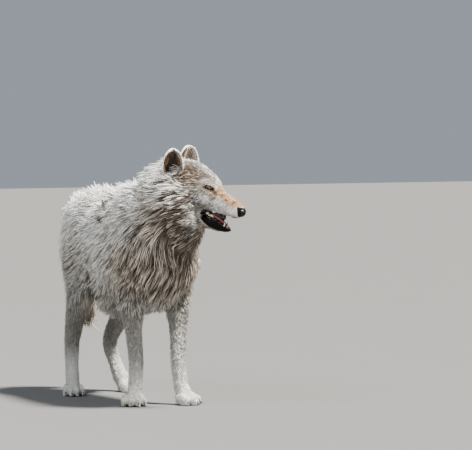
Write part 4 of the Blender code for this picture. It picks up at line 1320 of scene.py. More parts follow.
def survey(skin, groups):
    """Measures the skin for the coat, before the ears are joined to it."""
    mesh = skin.data
    edges = edges_of(mesh)
    points = spots_of(mesh)
    normals = normals_of(mesh)
    calm = unit(spread_out(normals, edges, 2))
    triangles = numbers_of(mesh.loops, "vertex_index", 1, np.int32).reshape(-1, 3)
    corners = points[triangles]
    spans = corners[:, 1:] - corners[:, :1]
    area = np.linalg.norm(np.cross(spans[:, 0], spans[:, 1]), axis=1) * 0.5
    flow = lie_of_coat(points, calm, groups)
    flow = unit(spread_out(flow, edges, 6))
    swirl = ripple(points, 0.11, 21) * 0.30 + ripple(points, 0.045, 22) * 0.16
    swirl = swirl * ease(hair_length(points, groups), 0.012, 0.05)
    flow = unit(flow * np.cos(swirl)[:, None] + np.cross(calm, flow) * np.sin(swirl)[:, None])
    lip, mouth, lid = bare_parts(points, normals)
    f, l, u = to_head(points).T
    nose = head_share(points) * ease(f, -0.0200, -0.0140)
    sole = (points[:, 2] < 0.004) | ((normals[:, 2] < -0.6) & (points[:, 2] < 0.012))
    inner = (u < upper_lip(f) + 0.0005) & (u > lower_lip(f) - 0.004)
    inner = inner & (f > MOUTH_CORNER - 0.006) & (np.abs(l) < 0.050)
    bare = np.maximum.reduce([lip, mouth, lid, nose, sole * 1.0, inner * 1.0])
    depth = coat_depth(points, groups)
    GROUND.tree = BVHTree.FromObject(skin, bpy.context.evaluated_depsgraph_get())
    GROUND.points, GROUND.triangles, GROUND.area = points, triangles, area
    below = (1.0 - ease(points[:, 2], BELLY + 0.03, BELLY + 0.10)) * ease(-normals[:, 2], 0.0, 0.5)
    depth = depth + 0.030 * groups["trunk"] * below * ease(points[:, 1], -0.10, 0.02)
    depth = mix(depth, 0.003, near_ears(points, 0.056) * groups["head"])
    GROUND.flow, GROUND.groups, GROUND.bare, GROUND.depth = flow, groups, bare, depth
    GROUND.length = hair_length(points, groups)
    ridge = ease(normals[:, 2], 0.35, 0.85)
    rump = ease(normals[:, 1], 0.45, 0.85) * ease(points[:, 2], 0.40, 0.50)
    stand = strong(np.maximum(ridge, rump), 1.0) * (1.0 - 0.6 * groups["head"] - 0.9 * groups["tail"])
    beside = ease(np.abs(normals[:, 0]), 0.45, 0.85)
    GROUND.stand = np.maximum(stand, groups["neck"] * (0.35 - 0.50 * beside))
    front = groups["trunk"] * (1.0 - ease(points[:, 1], -0.12, 0.02))
    depth -= 0.007 * beside * np.maximum(groups["neck"], front)
    GROUND.face_normals = unit(calm[triangles].mean(axis=1))
    GROUND.face_flow = unit(flow[triangles].mean(axis=1))


def scatter(density, random):
    """Even random places on the skin: their triangles and the weights of the corners."""
    weight = density[GROUND.triangles].mean(axis=1) * GROUND.area
    total = weight.sum()
    count = int(total)
    marks = (np.arange(count) + random.random(count)) * (total / count)
    chosen = np.minimum(np.searchsorted(np.cumsum(weight), marks), len(weight) - 1)
    first, second = random.random(count), random.random(count)
    flip = first + second > 1.0
    first, second = np.where(flip, 1.0 - first, first), np.where(flip, 1.0 - second, second)
    return chosen, np.column_stack((1.0 - first - second, first, second))


def at_places(values, chosen, weights):
    """A vertex value at scattered places."""
    corners = values[GROUND.triangles[chosen]]
    if corners.ndim == 2:
        return np.sum(corners * weights, axis=1)
    return np.sum(corners * weights[:, :, None], axis=1)


def walk(roots, chosen, ways, lengths, steps):
    """Paths that follow the skin from each root, and the skin's normal along them."""
    spots = roots
    normals = GROUND.face_normals[chosen]
    ways = unit(ways - normals * np.sum(ways * normals, axis=1)[:, None])
    path, rises = [spots], [normals]
    find = GROUND.tree.find_nearest
    for _ in range(steps):
        targets = spots + ways * (lengths / steps)[:, None]
        found = [find(target) for target in targets.tolist()]
        below = np.array([hit[0] for hit in found])
        index = np.array([hit[2] for hit in found])
        beyond = np.maximum(np.sum((targets - below) * ways, axis=1), 0.0)
        spots = below + ways * beyond[:, None]
        normals = unit(normals * 0.35 + GROUND.face_normals[index] * 0.65)
        ways = ways * 0.55 + GROUND.face_flow[index] * 0.45
        ways = unit(ways - normals * np.sum(ways * normals, axis=1)[:, None])
        path.append(spots)
        rises.append(normals)
    return np.array(path), np.array(rises)
# Floor and camera.


def unwrapped(kind, roots):
    """Where each root lies on an unrolled map of its part of the skin."""
    if kind == "head":
        f, l, u = to_head(roots).T
        around, along = np.arctan2(l, u + 0.01), f
    elif kind == "upright":
        x, y, z = roots.T
        curve_x, curve_y = np.polyfit(z, x, 2), np.polyfit(z, y, 2)
        around, along = np.arctan2(x - np.polyval(curve_x, z), y - np.polyval(curve_y, z)), z
    else:
        x, y, z = roots.T
        around, along = np.arctan2(x - MIDLINE, z - 0.53), y
    places = np.column_stack((around, along))
    low, high = places.min(axis=0), places.max(axis=0)
    return 0.006 + 0.988 * (places - low) / (high - low)


def rising(share):
    """How a hair rises from its root: steep at first, and then lying down."""
    return 1.0 - (1.0 - share) ** 1.45


PATCH = 0.003  # size of a tuft on the map


def tuft_mesh(name, path, rises, widths, root_colours, tip_colours, places, random):
    """Closed, three-sided, tapering tufts along the given paths, in one mesh."""
    levels = len(path) - 1
    count = path.shape[1]
    share = np.arange(levels) / levels
    forward = np.empty_like(path[:-1])
    forward[0] = path[1] - path[0]
    forward[1:] = path[2:] - path[:-2]
    forward = unit(forward)
    across = unit(np.cross(forward, rises[:-1]))
    over = np.cross(across, forward)
    taper = (0.75 + 0.55 * share) * (1.0 - share**1.6) ** 0.9
    half = widths[None, :] * 0.5 * taper[:, None]
    corners = ((-1.0, -0.22), (0.0, 0.50), (1.0, -0.22))
    rings = [path[:-1] + across * (half * a)[..., None] + over * (half * b)[..., None] for a, b in corners]
    rings = np.stack(rings, axis=2).transpose(1, 0, 2, 3).reshape(count, levels * 3, 3)
    spots = np.concatenate((rings, path[-1][:, None, :]), axis=1).reshape(-1, 3)
    spots[:, 2] = np.maximum(spots[:, 2], 0.0008)

    per_tuft = levels * 3 + 1
    quads, quad_uv = [], []
    for level in range(levels - 1):
        for side in range(3):
            after = (side + 1) % 3
            low, high = level * 3, level * 3 + 3
            quads.append((low + side, high + side, high + after, low + after))
            quad_uv.append(((side, level), (side, level + 1), (side + 1, level + 1), (side + 1, level)))
    tris, tri_uv = [(0, 1, 2)], [((0, 0), (1, 0), (2, 0))]
    last = (levels - 1) * 3
    for side in range(3):
        tris.append((last + side, levels * 3, last + (side + 1) % 3))
        tri_uv.append(((side, levels - 1), (side + 0.5, levels), (side + 1, levels - 1)))
    starts = (np.arange(count) * per_tuft)[:, None]
    quad_index = (starts + np.array(quads).reshape(1, -1)).ravel()
    tri_index = (starts + np.array(tris).reshape(1, -1)).ravel()
    quad_count, tri_count = count * len(quads), count * len(tris)

    mesh = bpy.data.meshes.new(name)
    mesh.vertices.add(len(spots))
    mesh.vertices.foreach_set("co", spots.astype(np.float32).ravel())
    mesh.loops.add(quad_count * 4 + tri_count * 3)
    mesh.loops.foreach_set("vertex_index", np.concatenate((quad_index, tri_index)).astype(np.int32))
    mesh.polygons.add(quad_count + tri_count)
    begins = np.concatenate((np.arange(quad_count) * 4, quad_count * 4 + np.arange(tri_count) * 3))
    mesh.polygons.foreach_set("loop_start", begins.astype(np.int32))
    mesh.update(calc_edges=True)

    local = np.concatenate((np.array(quad_uv).reshape(1, -1, 2), np.array(tri_uv).reshape(1, -1, 2)), axis=1)
    local = local / (3.0, levels)
    cut = len(quads) * 4

    def keep_map(title, values):
        both = np.concatenate((values[:, :cut].reshape(-1, 2), values[:, cut:].reshape(-1, 2)))
        layer = mesh.uv_layers.new(name=title)
        layer.data.foreach_set("uv", both.astype(np.float32).ravel())

    keep_map("OFBake", places[:, None, :] + (local - 0.5) * PATCH)
    shift = random.uniform(0.0, 60.0, (count, 1, 2))
    keep_map("Strand", local * (1.0, 2.0) + shift)

    # painted shade at the roots: each tuft runs from its root colour by the skin to its tip colour, partly
    # the undercoat's own colour and partly shade deep in the coat
    tint = ease(np.append(share, 1.0), 0.06, 0.74)[None, :, None]
    colours = root_colours[:, None, :] * (1.0 - tint) + tip_colours[:, None, :] * tint
    level_of = np.append(np.repeat(np.arange(levels), 3), levels)
    paint(mesh, colours[:, level_of].reshape(-1, 3))
    return linked(name, mesh)


LENGTHS = (0.008, 0.025, 0.050, 0.085)  # hair lengths at which the habits of the coat are given
LOCK_SIZES = (0.0060, 0.0100, 0.0140, 0.0190)
LOCK_PULLS = (0.20, 0.45, 0.36, 0.74)  # how far the tips of a lock draw together
LOCK_TURNS = (0.15, 0.34, 0.24, 0.44)  # how far whole locks turn aside, in radians
LOCK_WAVES = (0.0, 0.0004, 0.0014, 0.0036)
FINE_TUFT, WIDE_TUFT = 0.0012, 0.0040
SHOWN = 0.80  # how far along a hair its colour is read from the markings, as that is the part that shows


def tufted(name, shares, kind, levels, seed):
    """One piece of the coat, where the shares say that it grows: roots, locks, paths, colours with painted
    shade between the locks, and mesh.
    """
    density = density_of(shares)
    random = np.random.default_rng(SEED * 1000 + seed)
    chosen, weights = scatter(density, random)
    count = len(chosen)
    roots = at_places(GROUND.points, chosen, weights)
    length = at_places(GROUND.length, chosen, weights)
    depth = at_places(GROUND.depth, chosen, weights)
    stand = at_places(GROUND.stand, chosen, weights)
    flow = unit(at_places(GROUND.flow, chosen, weights))
    normals = GROUND.face_normals[chosen]

    lock_density = np.where(density > 0.0, 1.0 / np.interp(GROUND.length, LENGTHS, LOCK_SIZES) ** 2, 0.0)
    lock_roots = at_places(GROUND.points, *scatter(lock_density, random))
    tree = tree_of(lock_roots)
    nearest = [tree.find(root) for root in roots.tolist()]
    lock = np.array([hit[1] for hit in nearest])
    edge = np.array([hit[2] for hit in nearest]) / np.interp(length, LENGTHS, LOCK_SIZES)
    mine = random.random((len(lock_roots), 5))[lock]
    tip, root, dusk, dusky = markings(roots + flow * (length * SHOWN)[:, None] + normals * depth[:, None])
    under = random.random(count) < np.clip(0.06 + 0.65 * dusk, 0.0, 0.34) * ease(length, 0.012, 0.030)

    turn = (mine[:, 0] - 0.5) * np.interp(length, LENGTHS, LOCK_TURNS) + random.normal(0.0, 0.07, count)
    ways = flow * np.cos(turn)[:, None] + np.cross(normals, flow) * np.sin(turn)[:, None]
    reach = length * (0.80 + 0.34 * mine[:, 1]) * random.uniform(0.80, 1.12, count)
    path, rises = walk(roots, chosen, ways, reach * np.where(under, 0.75, 1.0), levels)

    raised = np.where(under, 0.50, 1.0 + stand * (0.25 + 0.95 * mine[:, 4] ** 3))
    fullness = 0.66 + 0.16 * ease(length, 0.02, 0.05) + 0.34 * mine[:, 2]
    lift = depth * fullness * random.uniform(0.80, 1.12, count) * raised
    share = np.arange(levels + 1) / levels
    inset = 0.0010 + 0.0008 * (length > 0.02)
    offsets = lift[None, :] * rising(share)[:, None] - inset * (share[:, None] < 0.01)
    path = path + rises * offsets[..., None]
    pull = np.interp(length, LENGTHS, LOCK_PULLS) * np.where(under, 0.0, 1.0)
    gather = (lock_roots[lock] - roots) * pull[:, None]
    gather -= normals * np.sum(gather * normals, axis=1)[:, None]
    path = path + gather[None] * (share**1.25)[:, None, None]
    phase = mine[None, :, 3] * math.tau
    sway = np.sin(share[:, None] * math.tau * 0.9 + phase) - np.sin(phase)
    sway = sway * np.interp(length, LENGTHS, LOCK_WAVES)[None] * share[:, None]
    path = path + unit(np.cross(ways, normals))[None] * sway[..., None]

    widths = FINE_TUFT + (bpy.context.scene.wolf_coat.strand_width - FINE_TUFT) * length / 0.068
    widths = np.minimum(widths, WIDE_TUFT) * random.uniform(0.75, 1.3, count)
    # painted shade between locks: darker hairs grow at random, and more often towards the edge of a lock,
    # where its gaps lie
    darker = dusk * (0.4 + 1.2 * mine[:, 1]) * (0.45 + 1.3 * np.minimum(edge, 0.9) ** 2)
    dark_hair = random.random(count) < darker
    tip = np.where(dark_hair[:, None], mix(tip, dusky, random.uniform(0.55, 0.95, count)), tip)
    tip = np.where(under[:, None], mix(tip, root, 0.75), tip)
    # each tuft's brightness differs at random and, as painted shade, falls towards the edge of its lock;
    # dusk sets how deep it goes, and the roots darken with it
    random_tone_and_gap_shade = mine[:, 2] * 1.3 - 0.75 + random.normal(0.0, 0.42, count) - 0.9 * np.minimum(edge, 1.0) ** 2
    shade = np.clip(1.0 + np.clip(0.18 + 0.90 * dusk, 0.0, 0.70) * random_tone_and_gap_shade, 0.35, 1.25)
    tip = np.minimum(tip * 1.06 * shade[:, None], 0.94)
    root = root * (0.80 + 0.20 * shade)[:, None]
    tufts = tuft_mesh(name, path, rises, widths, root, tip, unwrapped(kind, roots), random)
    return finish_piece(tufts, hair_kind())


def density_of(shares):
    """Tufts per square metre where the shares say that this piece grows."""
    coat = bpy.context.scene.wolf_coat
    scale = coat.spacing / USUAL_SPACING
    lengths = [0.005, 0.010, 0.020, 0.040, 0.060, 0.085]
    spacing = scale * np.interp(GROUND.length, lengths, [0.0025, 0.0030, 0.0039, 0.0050, 0.0056, 0.0057])
    return np.where((GROUND.bare < 0.25) & shares, 1.0 / spacing**2, 0.0)


def hair_kind():
    """The material that all pieces of the coat share."""
    found = bpy.data.materials.get("coat_hair")
    return found if found is not None else coat_material()


def main_group():
    """The index of the group that owns each vertex of the skin."""
    return np.argmax(np.column_stack([GROUND.groups[name] for name in KINDS]), axis=1)


class WOLF_OT_coat_trunk(bpy.types.Operator):
    """Long tufts of the back, flanks, chest and belly"""

    bl_idname = "wolf.coat_trunk"
    bl_label = "Coat of the trunk"

    def execute(self, context):
        owner = main_group()
        x, y, _ = GROUND.points.T
        halves = (("front", y < 0.0), ("rear", y >= 0.0))
        for seed, (side, word) in enumerate(SIDES):
            for extra, (half, mask) in enumerate(halves):
                shares = (owner == KINDS.index("trunk")) & mask & ((x - MIDLINE) * side > 0.0)
                tufted(f"coat_trunk_{half}_{word}", shares, "long", 4, 10 + seed * 2 + extra)
        return {"FINISHED"}


class WOLF_OT_coat_neck(bpy.types.Operator):
    """The longest locks, on the neck"""

    bl_idname = "wolf.coat_neck"
    bl_label = "Coat of the neck"

    def execute(self, context):
        owner = main_group()
        left = to_head(GROUND.points)[:, 1]
        for seed, (side, word) in enumerate(SIDES):
            shares = (owner == KINDS.index("neck")) & (left * side > 0.0)
            tufted("coat_neck_" + word, shares, "head", 4, 20 + seed)
        return {"FINISHED"}


RUFF_FRONT = -0.195


class WOLF_OT_coat_head(bpy.types.Operator):
    """Ruff, crown, face and muzzle, shorter towards the nose"""

    bl_idname = "wolf.coat_head"
    bl_label = "Coat of the head"

    def execute(self, context):
        owner = main_group()
        f, l, _ = to_head(GROUND.points).T
        for seed, (side, word) in enumerate(SIDES):
            shares = (owner == KINDS.index("head")) & (l * side > 0.0)
            tufted("coat_ruff_" + word, shares & (f < RUFF_FRONT), "head", 4, 30 + seed)
            tufted("coat_face_" + word, shares & (f >= RUFF_FRONT), "head", 2, 34 + seed)
        return {"FINISHED"}


class WOLF_OT_coat_ears(bpy.types.Operator):
    """Short fur behind the ears, a pale fringe along their rims whose white is partly painted rim light, and
    long hairs inside, painted paler in the lit left ear
    """

    bl_idname = "wolf.coat_ears"
    bl_label = "Coat of the ears"

    def execute(self, context):
        random = np.random.default_rng(SEED * 1000 + 70)
        for side, word in SIDES:
            made = [
                self.grow("behind", side, random, 2600, 0.0085, 0.0018, -1.0),
                self.grow("rim", side, random, 1300, 0.0050, 0.0014, 0.0),
                self.grow("inside", side, random, 1100, 0.026, 0.0060, 1.0),
            ]
            finish_piece(joined(made, "coat_ear_" + word), hair_kind())
        return {"FINISHED"}

    def grow(self, kind, side, random, count, length, lift, face):
        """One kind of an ear's hair; face is 1 inside the ear, -1 behind it and 0 on the rim."""
        share, turn = random.uniform(0.02, 0.92, count), random.uniform(-0.97, 0.97, count)
        if kind == "rim":
            turn = np.where(random.random(count) < 0.5, 1.0, -1.0) * (1.0 - 0.03 * random.random(count))
            share = 0.28 + 0.715 * np.sin(random.uniform(-0.30, math.pi * 0.5, count))
        if kind == "inside":
            front = random.random(count) < 0.6
            turn = np.where(front, random.uniform(0.45, 0.98, count), random.uniform(-0.98, -0.5, count))
            share = random.uniform(0.02, 0.80, count)
        up, inward = ear_frame(side, share, turn)
        base = ear_points(side, share, turn)
        away = unit(base - ear_points(side, share, turn * 0.9))
        if kind == "rim":
            upward = 0.8 - 0.5 * ease(share, 0.6, 0.95)
            way = unit(up * upward[:, None] + away * random.uniform(0.3, 0.9, count)[:, None])
        elif kind == "inside":
            way = unit(up * 0.9 - away * 0.55)
        else:
            way = unit(up + away * 0.2)
        levels = 3 if kind == "inside" else 2
        steps = np.arange(levels + 1) / levels
        reach = length * random.uniform(0.7, 1.15, count)
        rise = inward if face >= 0.0 else -inward
        start = base + rise * (EAR_WALL * 0.35 * abs(face))
        path = start[None] + way[None] * (reach[None] * steps[:, None])[..., None]
        lifts = lift * random.uniform(0.6, 1.2, count)
        path = path + rise[None] * (lifts[None] * rising(steps)[:, None])[..., None]
        tip = ear_colours(side, share, turn, np.full(count, 1.0 if face > 0.0 else 0.0))
        if kind == "inside":
            tints = coat_tints()
            # painted light and shade: the long hairs inside the left ear are painted paler, as lit, than in
            # the right ear, which is in shade
            pale = tints.cream * (0.55 if side > 0 else 0.10) + tints.tan * 0.35
            tip = mix(tip, pale, random.uniform(0.15, 1.0, count) * ease(np.abs(turn), 0.4, 0.8))
        tip = tip * random.uniform(0.75, 1.15, count)[:, None]
        widths = np.full(count, 0.0018 if kind == "inside" else 0.0022) * random.uniform(0.7, 1.3, count)
        across = turn * 0.24 + (0.25 if side > 0 else 0.75)
        places = np.column_stack((across, 0.02 + 0.96 * np.clip(share, 0.0, 1.0)))
        rises = np.broadcast_to(rise, path.shape)
        # painted shade: the roots of the ear's hairs are painted at 0.6 of their tip colour, where they meet
        # the ear
        return tuft_mesh("ear_" + kind, path, rises, widths, tip * 0.6, tip, places, random)


KNEE_TOP = 0.33


class WOLF_OT_coat_legs(bpy.types.Operator):
    """Legs and paws, with the longer hair of the shoulders and thighs above"""

    bl_idname = "wolf.coat_legs"
    bl_label = "Coat of the legs"

    def execute(self, context):
        owner = main_group()
        x, y, z = GROUND.points.T
        for seed, (side, word) in enumerate(SIDES):
            own = (owner == KINDS.index("limb")) & ((x - MIDLINE) * side > 0.0)
            for extra, (name, mask) in enumerate((("foreleg", y < 0.0), ("hindleg", y >= 0.0))):
                first = 40 + seed * 4 + extra
                tufted(f"coat_{name}_upper_{word}", own & mask & (z > KNEE_TOP), "upright", 4, first)
                tufted(f"coat_{name}_lower_{word}", own & mask & (z <= KNEE_TOP), "upright", 2, first + 2)
        return {"FINISHED"}


class WOLF_OT_coat_tail(bpy.types.Operator):
    """The bushy tail"""

    bl_idname = "wolf.coat_tail"
    bl_label = "Coat of the tail"

    def execute(self, context):
        tufted("coat_tail", main_group() == KINDS.index("tail"), "upright", 4, 60)
        return {"FINISHED"}


# ---------------------------------------------------------------- eyes, nose, mouth, claws and whiskers
class WOLF_OT_eyes(bpy.types.Operator):
    """Eyeballs with an amber iris, a round pupil and black rims of the lids"""

    bl_idname = "wolf.eyes"
    bl_label = "Eyes"

    def execute(self, context):
        face = context.scene.wolf_face
        gloss = eye_material()
        rim_skin = moist_material("lid_skin", face.black, 0.38, 900.0, 0.3)
        for side, word in SIDES:
            gaze = unit(eye_axes(side)[:, 0] + np.array((0.22, 0.0, -0.06)))
            across = unit(np.cross((0.0, 0.0, 1.0), gaze))
            axes = HEAD_AXES @ np.column_stack((across, np.cross(gaze, across), gaze))
            eye = ball_of_one("eyeball_" + word, 48, 40)
            spots = spots_of(eye.data)
            angle = np.degrees(np.arccos(np.clip(spots[:, 2], -1.0, 1.0)))
            cornea = 1.0 + 0.055 * (1.0 - ease(angle, 22.0, 40.0))
            turn = np.arctan2(spots[:, 1], spots[:, 0])
            streak = 0.82 + 0.25 * np.sin(turn * 17.0) * np.sin(turn * 7.0 + 1.0)
            iris = np.outer(streak, np.array(face.iris))
            iris = mix(iris, np.array(face.iris) * 0.35, ease(angle, 27.0, 33.0))
            colours = mix(iris, np.array((0.012, 0.009, 0.008)), ease(angle, 33.0, 36.0))
            colours = mix(colours, np.array((0.004, 0.004, 0.004)), 1.0 - ease(angle, 14.0, 16.5))
            paint(eye.data, colours, "eye_colour")
            middle = middle_of("eye_" + word)
            set_spots(eye.data, (spots * (cornea * EYE_RADIUS)[:, None]) @ axes.T + middle)
            finish_piece(eye, gloss, "eye_" + word)
            self.lid_rim(side, word, rim_skin)
        return {"FINISHED"}

    def lid_rim(self, side, word, material):
        """A fine black cord of skin along the edge of both lids, drawn out at the inner corner."""
        face = bpy.context.scene.wolf_face
        select_only()
        tube_radius = 0.1
        bpy.ops.mesh.primitive_torus_add(
            major_segments=56, minor_segments=8, major_radius=1.0, minor_radius=tube_radius
        )
        rim = named(bpy.context.active_object, "eyelid_rim_" + word)
        spots = spots_of(rim.data)
        turn = np.arctan2(spots[:, 1], spots[:, 0])
        ring = np.column_stack((np.cos(turn), np.sin(turn), np.zeros(len(turn))))
        tube = (spots - ring) / tube_radius
        x = np.cos(turn) * (face.slit_length + 0.0004)
        y = np.where(np.sin(turn) > 0.0, slit_edge(x, True), slit_edge(x, False))
        inner = ease(-x, 0.007, 0.0125)
        y = y - inner * 0.0008
        z = dome(EYE_RADIUS + 0.0006, np.minimum(np.hypot(x, y), 0.0108))
        thick = 0.00115 + 0.0004 * ease(y, 0.0, 0.004)
        out = np.sum(tube * ring, axis=1)
        x = x + out * thick * np.cos(turn)
        y = y + out * thick * np.sin(turn)
        z = z + tube[:, 2] * thick
        set_spots(rim.data, from_head(eye_centre(side) + np.column_stack((z, x, y)) @ eye_axes(side).T))
        merged(rim, outwards=True)
        finish_piece(rim, material)


class WOLF_OT_nose(bpy.types.Operator):
    """The nose pad with its nostrils and the groove between them"""

    bl_idname = "wolf.nose"
    bl_label = "Nose"

    def execute(self, context):
        face = context.scene.wolf_face
        nose = ball_of_one("nose_pad", 64, 48)
        spots = spots_of(nose.data)
        f, l, u = spots.T
        side = np.abs(l)
        radii = np.array((0.0175, 0.0190, 0.0156))
        wide = 1.0 + 0.10 * ease(u, 0.0, 0.7) - 0.16 * ease(-u, 0.1, 0.9)
        shaped = np.column_stack((f * radii[0], l * radii[1] * wide, u * radii[2]))
        flat = ease(f, 0.45, 1.0)
        shaped[:, 0] -= flat * 0.0022
        pit = np.exp(-(((side - 0.46) / 0.17) ** 2 + ((u + 0.02) / 0.20) ** 2)) * ease(f, 0.1, 0.5)
        slot = np.exp(-(((side - 0.80) / 0.22) ** 2 + ((u + 0.18) / 0.10) ** 2)) * ease(f, -0.3, 0.3)
        groove = np.exp(-((l / 0.055) ** 2)) * ease(-u, -0.25, 0.05) * ease(f, 0.2, 0.6)
        wing = np.exp(-(((side - 0.74) / 0.13) ** 2 + ((u - 0.12) / 0.30) ** 2)) * ease(f, 0.0, 0.4)
        inward = pit * 0.0062 + slot * 0.0030 + groove * 0.0013 - wing * 0.0012
        shaped -= unit(spots) * inward[:, None]
        place = np.array(NOSE_SPOT) + (-0.0050, 0.0, -0.0055)
        set_spots(nose.data, from_head(shaped + place))
        finish_piece(nose, moist_material("nose_skin", face.black, 0.34, 1100.0, 0.55, 0.16), "nose")
        return {"FINISHED"}


class WOLF_OT_mouth(bpy.types.Operator):
    """Tongue, palate, gums and teeth"""

    bl_idname = "wolf.mouth"
    bl_label = "Mouth"

    def execute(self, context):
        face = context.scene.wolf_face
        self.tongue(moist_material("tongue_skin", face.tongue, 0.42, 1500.0, 0.6, 0.2))
        # painted shade: the back of the mouth is painted nearly black, at 0.06 of the tongue's colour, for
        # the shade inside the mouth
        shadow = tuple(0.06 * value for value in face.tongue)
        self.lining(moist_material("mouth_skin", shadow, 0.45, 500.0, 0.4, 0.2))
        ivory = moist_material("tooth_ivory", face.ivory, 0.30, 300.0, 0.15, 0.3)
        self.teeth("teeth_upper", -0.027, upper_gum, -1.0, ivory)
        self.teeth("teeth_lower", -0.047, lower_gum, 1.0, ivory)
        return {"FINISHED"}

    def tongue(self, material):
        """A long, grooved tongue that lies between the lower teeth."""
        tongue = ball_of_one("tongue_blade", 40, 32)
        spots = spots_of(tongue.data)
        f, l, u = spots.T
        along = -0.0930 + f * 0.0400
        half = 0.0158 * (1.0 - 0.25 * ease(f, 0.3, 1.0))
        level = tongue_top(along) - 0.0062
        groove = 0.0022 * np.exp(-((l / 0.16) ** 2)) * ease(u, 0.0, 0.5)
        edge = 0.0016 * ease(np.abs(l), 0.55, 0.95)
        height = level + u * 0.0062 - groove + edge
        set_spots(tongue.data, from_head(np.column_stack((along, l * half, height))))
        finish_piece(tongue, material, "tongue")

    def lining(self, material):
        """The back of the mouth, painted dark as shade, with the cheeks that join the jaws at its corners.
        """
        lining = ball_of_one("mouth_lining", 40, 28)
        spots = spots_of(lining.data)
        f, l, u = spots.T
        fuller = np.maximum(np.hypot(l, u), 0.001) ** -0.6
        l, u = l * fuller, u * fuller
        along = -0.1140 + f * 0.0480
        roof, bed = upper_lip(along) + 0.004, tongue_top(along) - 0.003
        height = (roof + bed) * 0.5 + u * (roof - bed) * 0.5
        half = np.interp(along, [-0.150, -0.120, -0.070], [0.0270, 0.0210, 0.0150])
        fold = 0.0008 * np.sin(u * 14.0)
        set_spots(lining.data, from_head(np.column_stack((along + fold, l * half, height))))
        finish_piece(lining, material)

    def teeth(self, name, front, gum, rise, material):
        """Incisors, canines and cheek teeth of one jaw; the lips hide most of the cheek teeth."""
        made = []

        def add(along, across, height, width, thickness, hook=0.0):
            made.append(self.tooth((along, across, gum(along)), rise, height, width, thickness, hook))

        for index in range(6):
            across = (index - 2.5) * 0.0042
            add(front - abs(across) * 0.30, across, 0.0056, 0.0038, 0.0034)
        tall = {3: 0.0055} if rise < 0.0 else {2: 0.0052, 3: 0.0062}  # the cheek teeth that show
        for side, _ in SIDES:
            add(front - 0.012, side * 0.0150, 0.0150, 0.0070, 0.0058, -0.0022)
            for place, height in tall.items():
                along, across = front - 0.032 - 0.0160 * place, side * (0.0150 + 0.0022 * place)
                add(along, across, height, 0.0080, 0.0046)
                add(along + 0.0045, across, height * 0.62, 0.0056, 0.0040)
                add(along - 0.0045, across, height * 0.55, 0.0056, 0.0040)
        finish_piece(joined(made, name), material)

    def tooth(self, place, rise, height, width, thickness, hook):
        """A cone with a soft tip, bent back a little."""
        select_only()
        bpy.ops.mesh.primitive_cone_add(
            vertices=10, radius1=1.0, radius2=0.12, depth=1.0, end_fill_type="TRIFAN"
        )
        tooth = bpy.context.active_object
        rounder = tooth.modifiers.new("Round", "SUBSURF")
        rounder.levels = 1
        rounder.render_levels = 1
        apply_all(tooth)
        spots = spots_of(tooth.data)
        share = spots[:, 2] + 0.5
        root = 0.004
        ahead = spots[:, 0] * width * 0.5 + hook * ease(share, 0.2, 1.0) * share
        upward = rise * (share * (height + root) - root)
        local = np.column_stack((ahead, spots[:, 1] * thickness * 0.5, upward))
        set_spots(tooth.data, from_head(local + place))
        return merged(tooth, outwards=True)


class WOLF_OT_claws(bpy.types.Operator):
    """Four dark claws on each paw"""

    bl_idname = "wolf.claws"
    bl_label = "Claws"

    def execute(self, context):
        horn = moist_material("claw_horn", context.scene.wolf_face.claw, 0.42, 260.0, 0.2)
        for paw in PAWS:
            middle, axes = paw_frame(paw)
            made = []
            for spread in TOES:
                select_only()
                bpy.ops.mesh.primitive_cone_add(vertices=10, radius1=1.0, radius2=0.10, depth=1.0)
                claw = bpy.context.active_object
                bpy.ops.object.mode_set(mode="EDIT")
                bpy.ops.mesh.select_all(action="SELECT")
                bpy.ops.mesh.subdivide(number_cuts=4)
                bpy.ops.object.mode_set(mode="OBJECT")
                spots = spots_of(claw.data)
                share = spots[:, 2] + 0.5
                fullness = np.sqrt(np.clip(1.0 - share**2.2, 0.0, 1.0)) / np.maximum(1.0 - 0.9 * share, 0.1)
                thick = 0.0036 * np.minimum(fullness, 1.6)
                reach = toe_reach(paw, spread) - 0.013 + paw.claw * 1.25 * share
                across = spread * paw.width * TOE_GAP * (1.0 + 0.06 * share) + spots[:, 0] * thick * 0.72
                height = 0.0150 + spots[:, 1] * thick - paw.claw * 0.52 * share**2
                place = np.column_stack((reach, across, np.maximum(height, 0.0006)))
                set_spots(claw.data, middle + place @ axes.T)
                made.append(merged(claw, outwards=True))
            finish_piece(joined(made, "claws_" + paw.node), horn)
        return {"FINISHED"}


WHISKER_DROOP = np.array((-0.25, 0.0, -0.30))


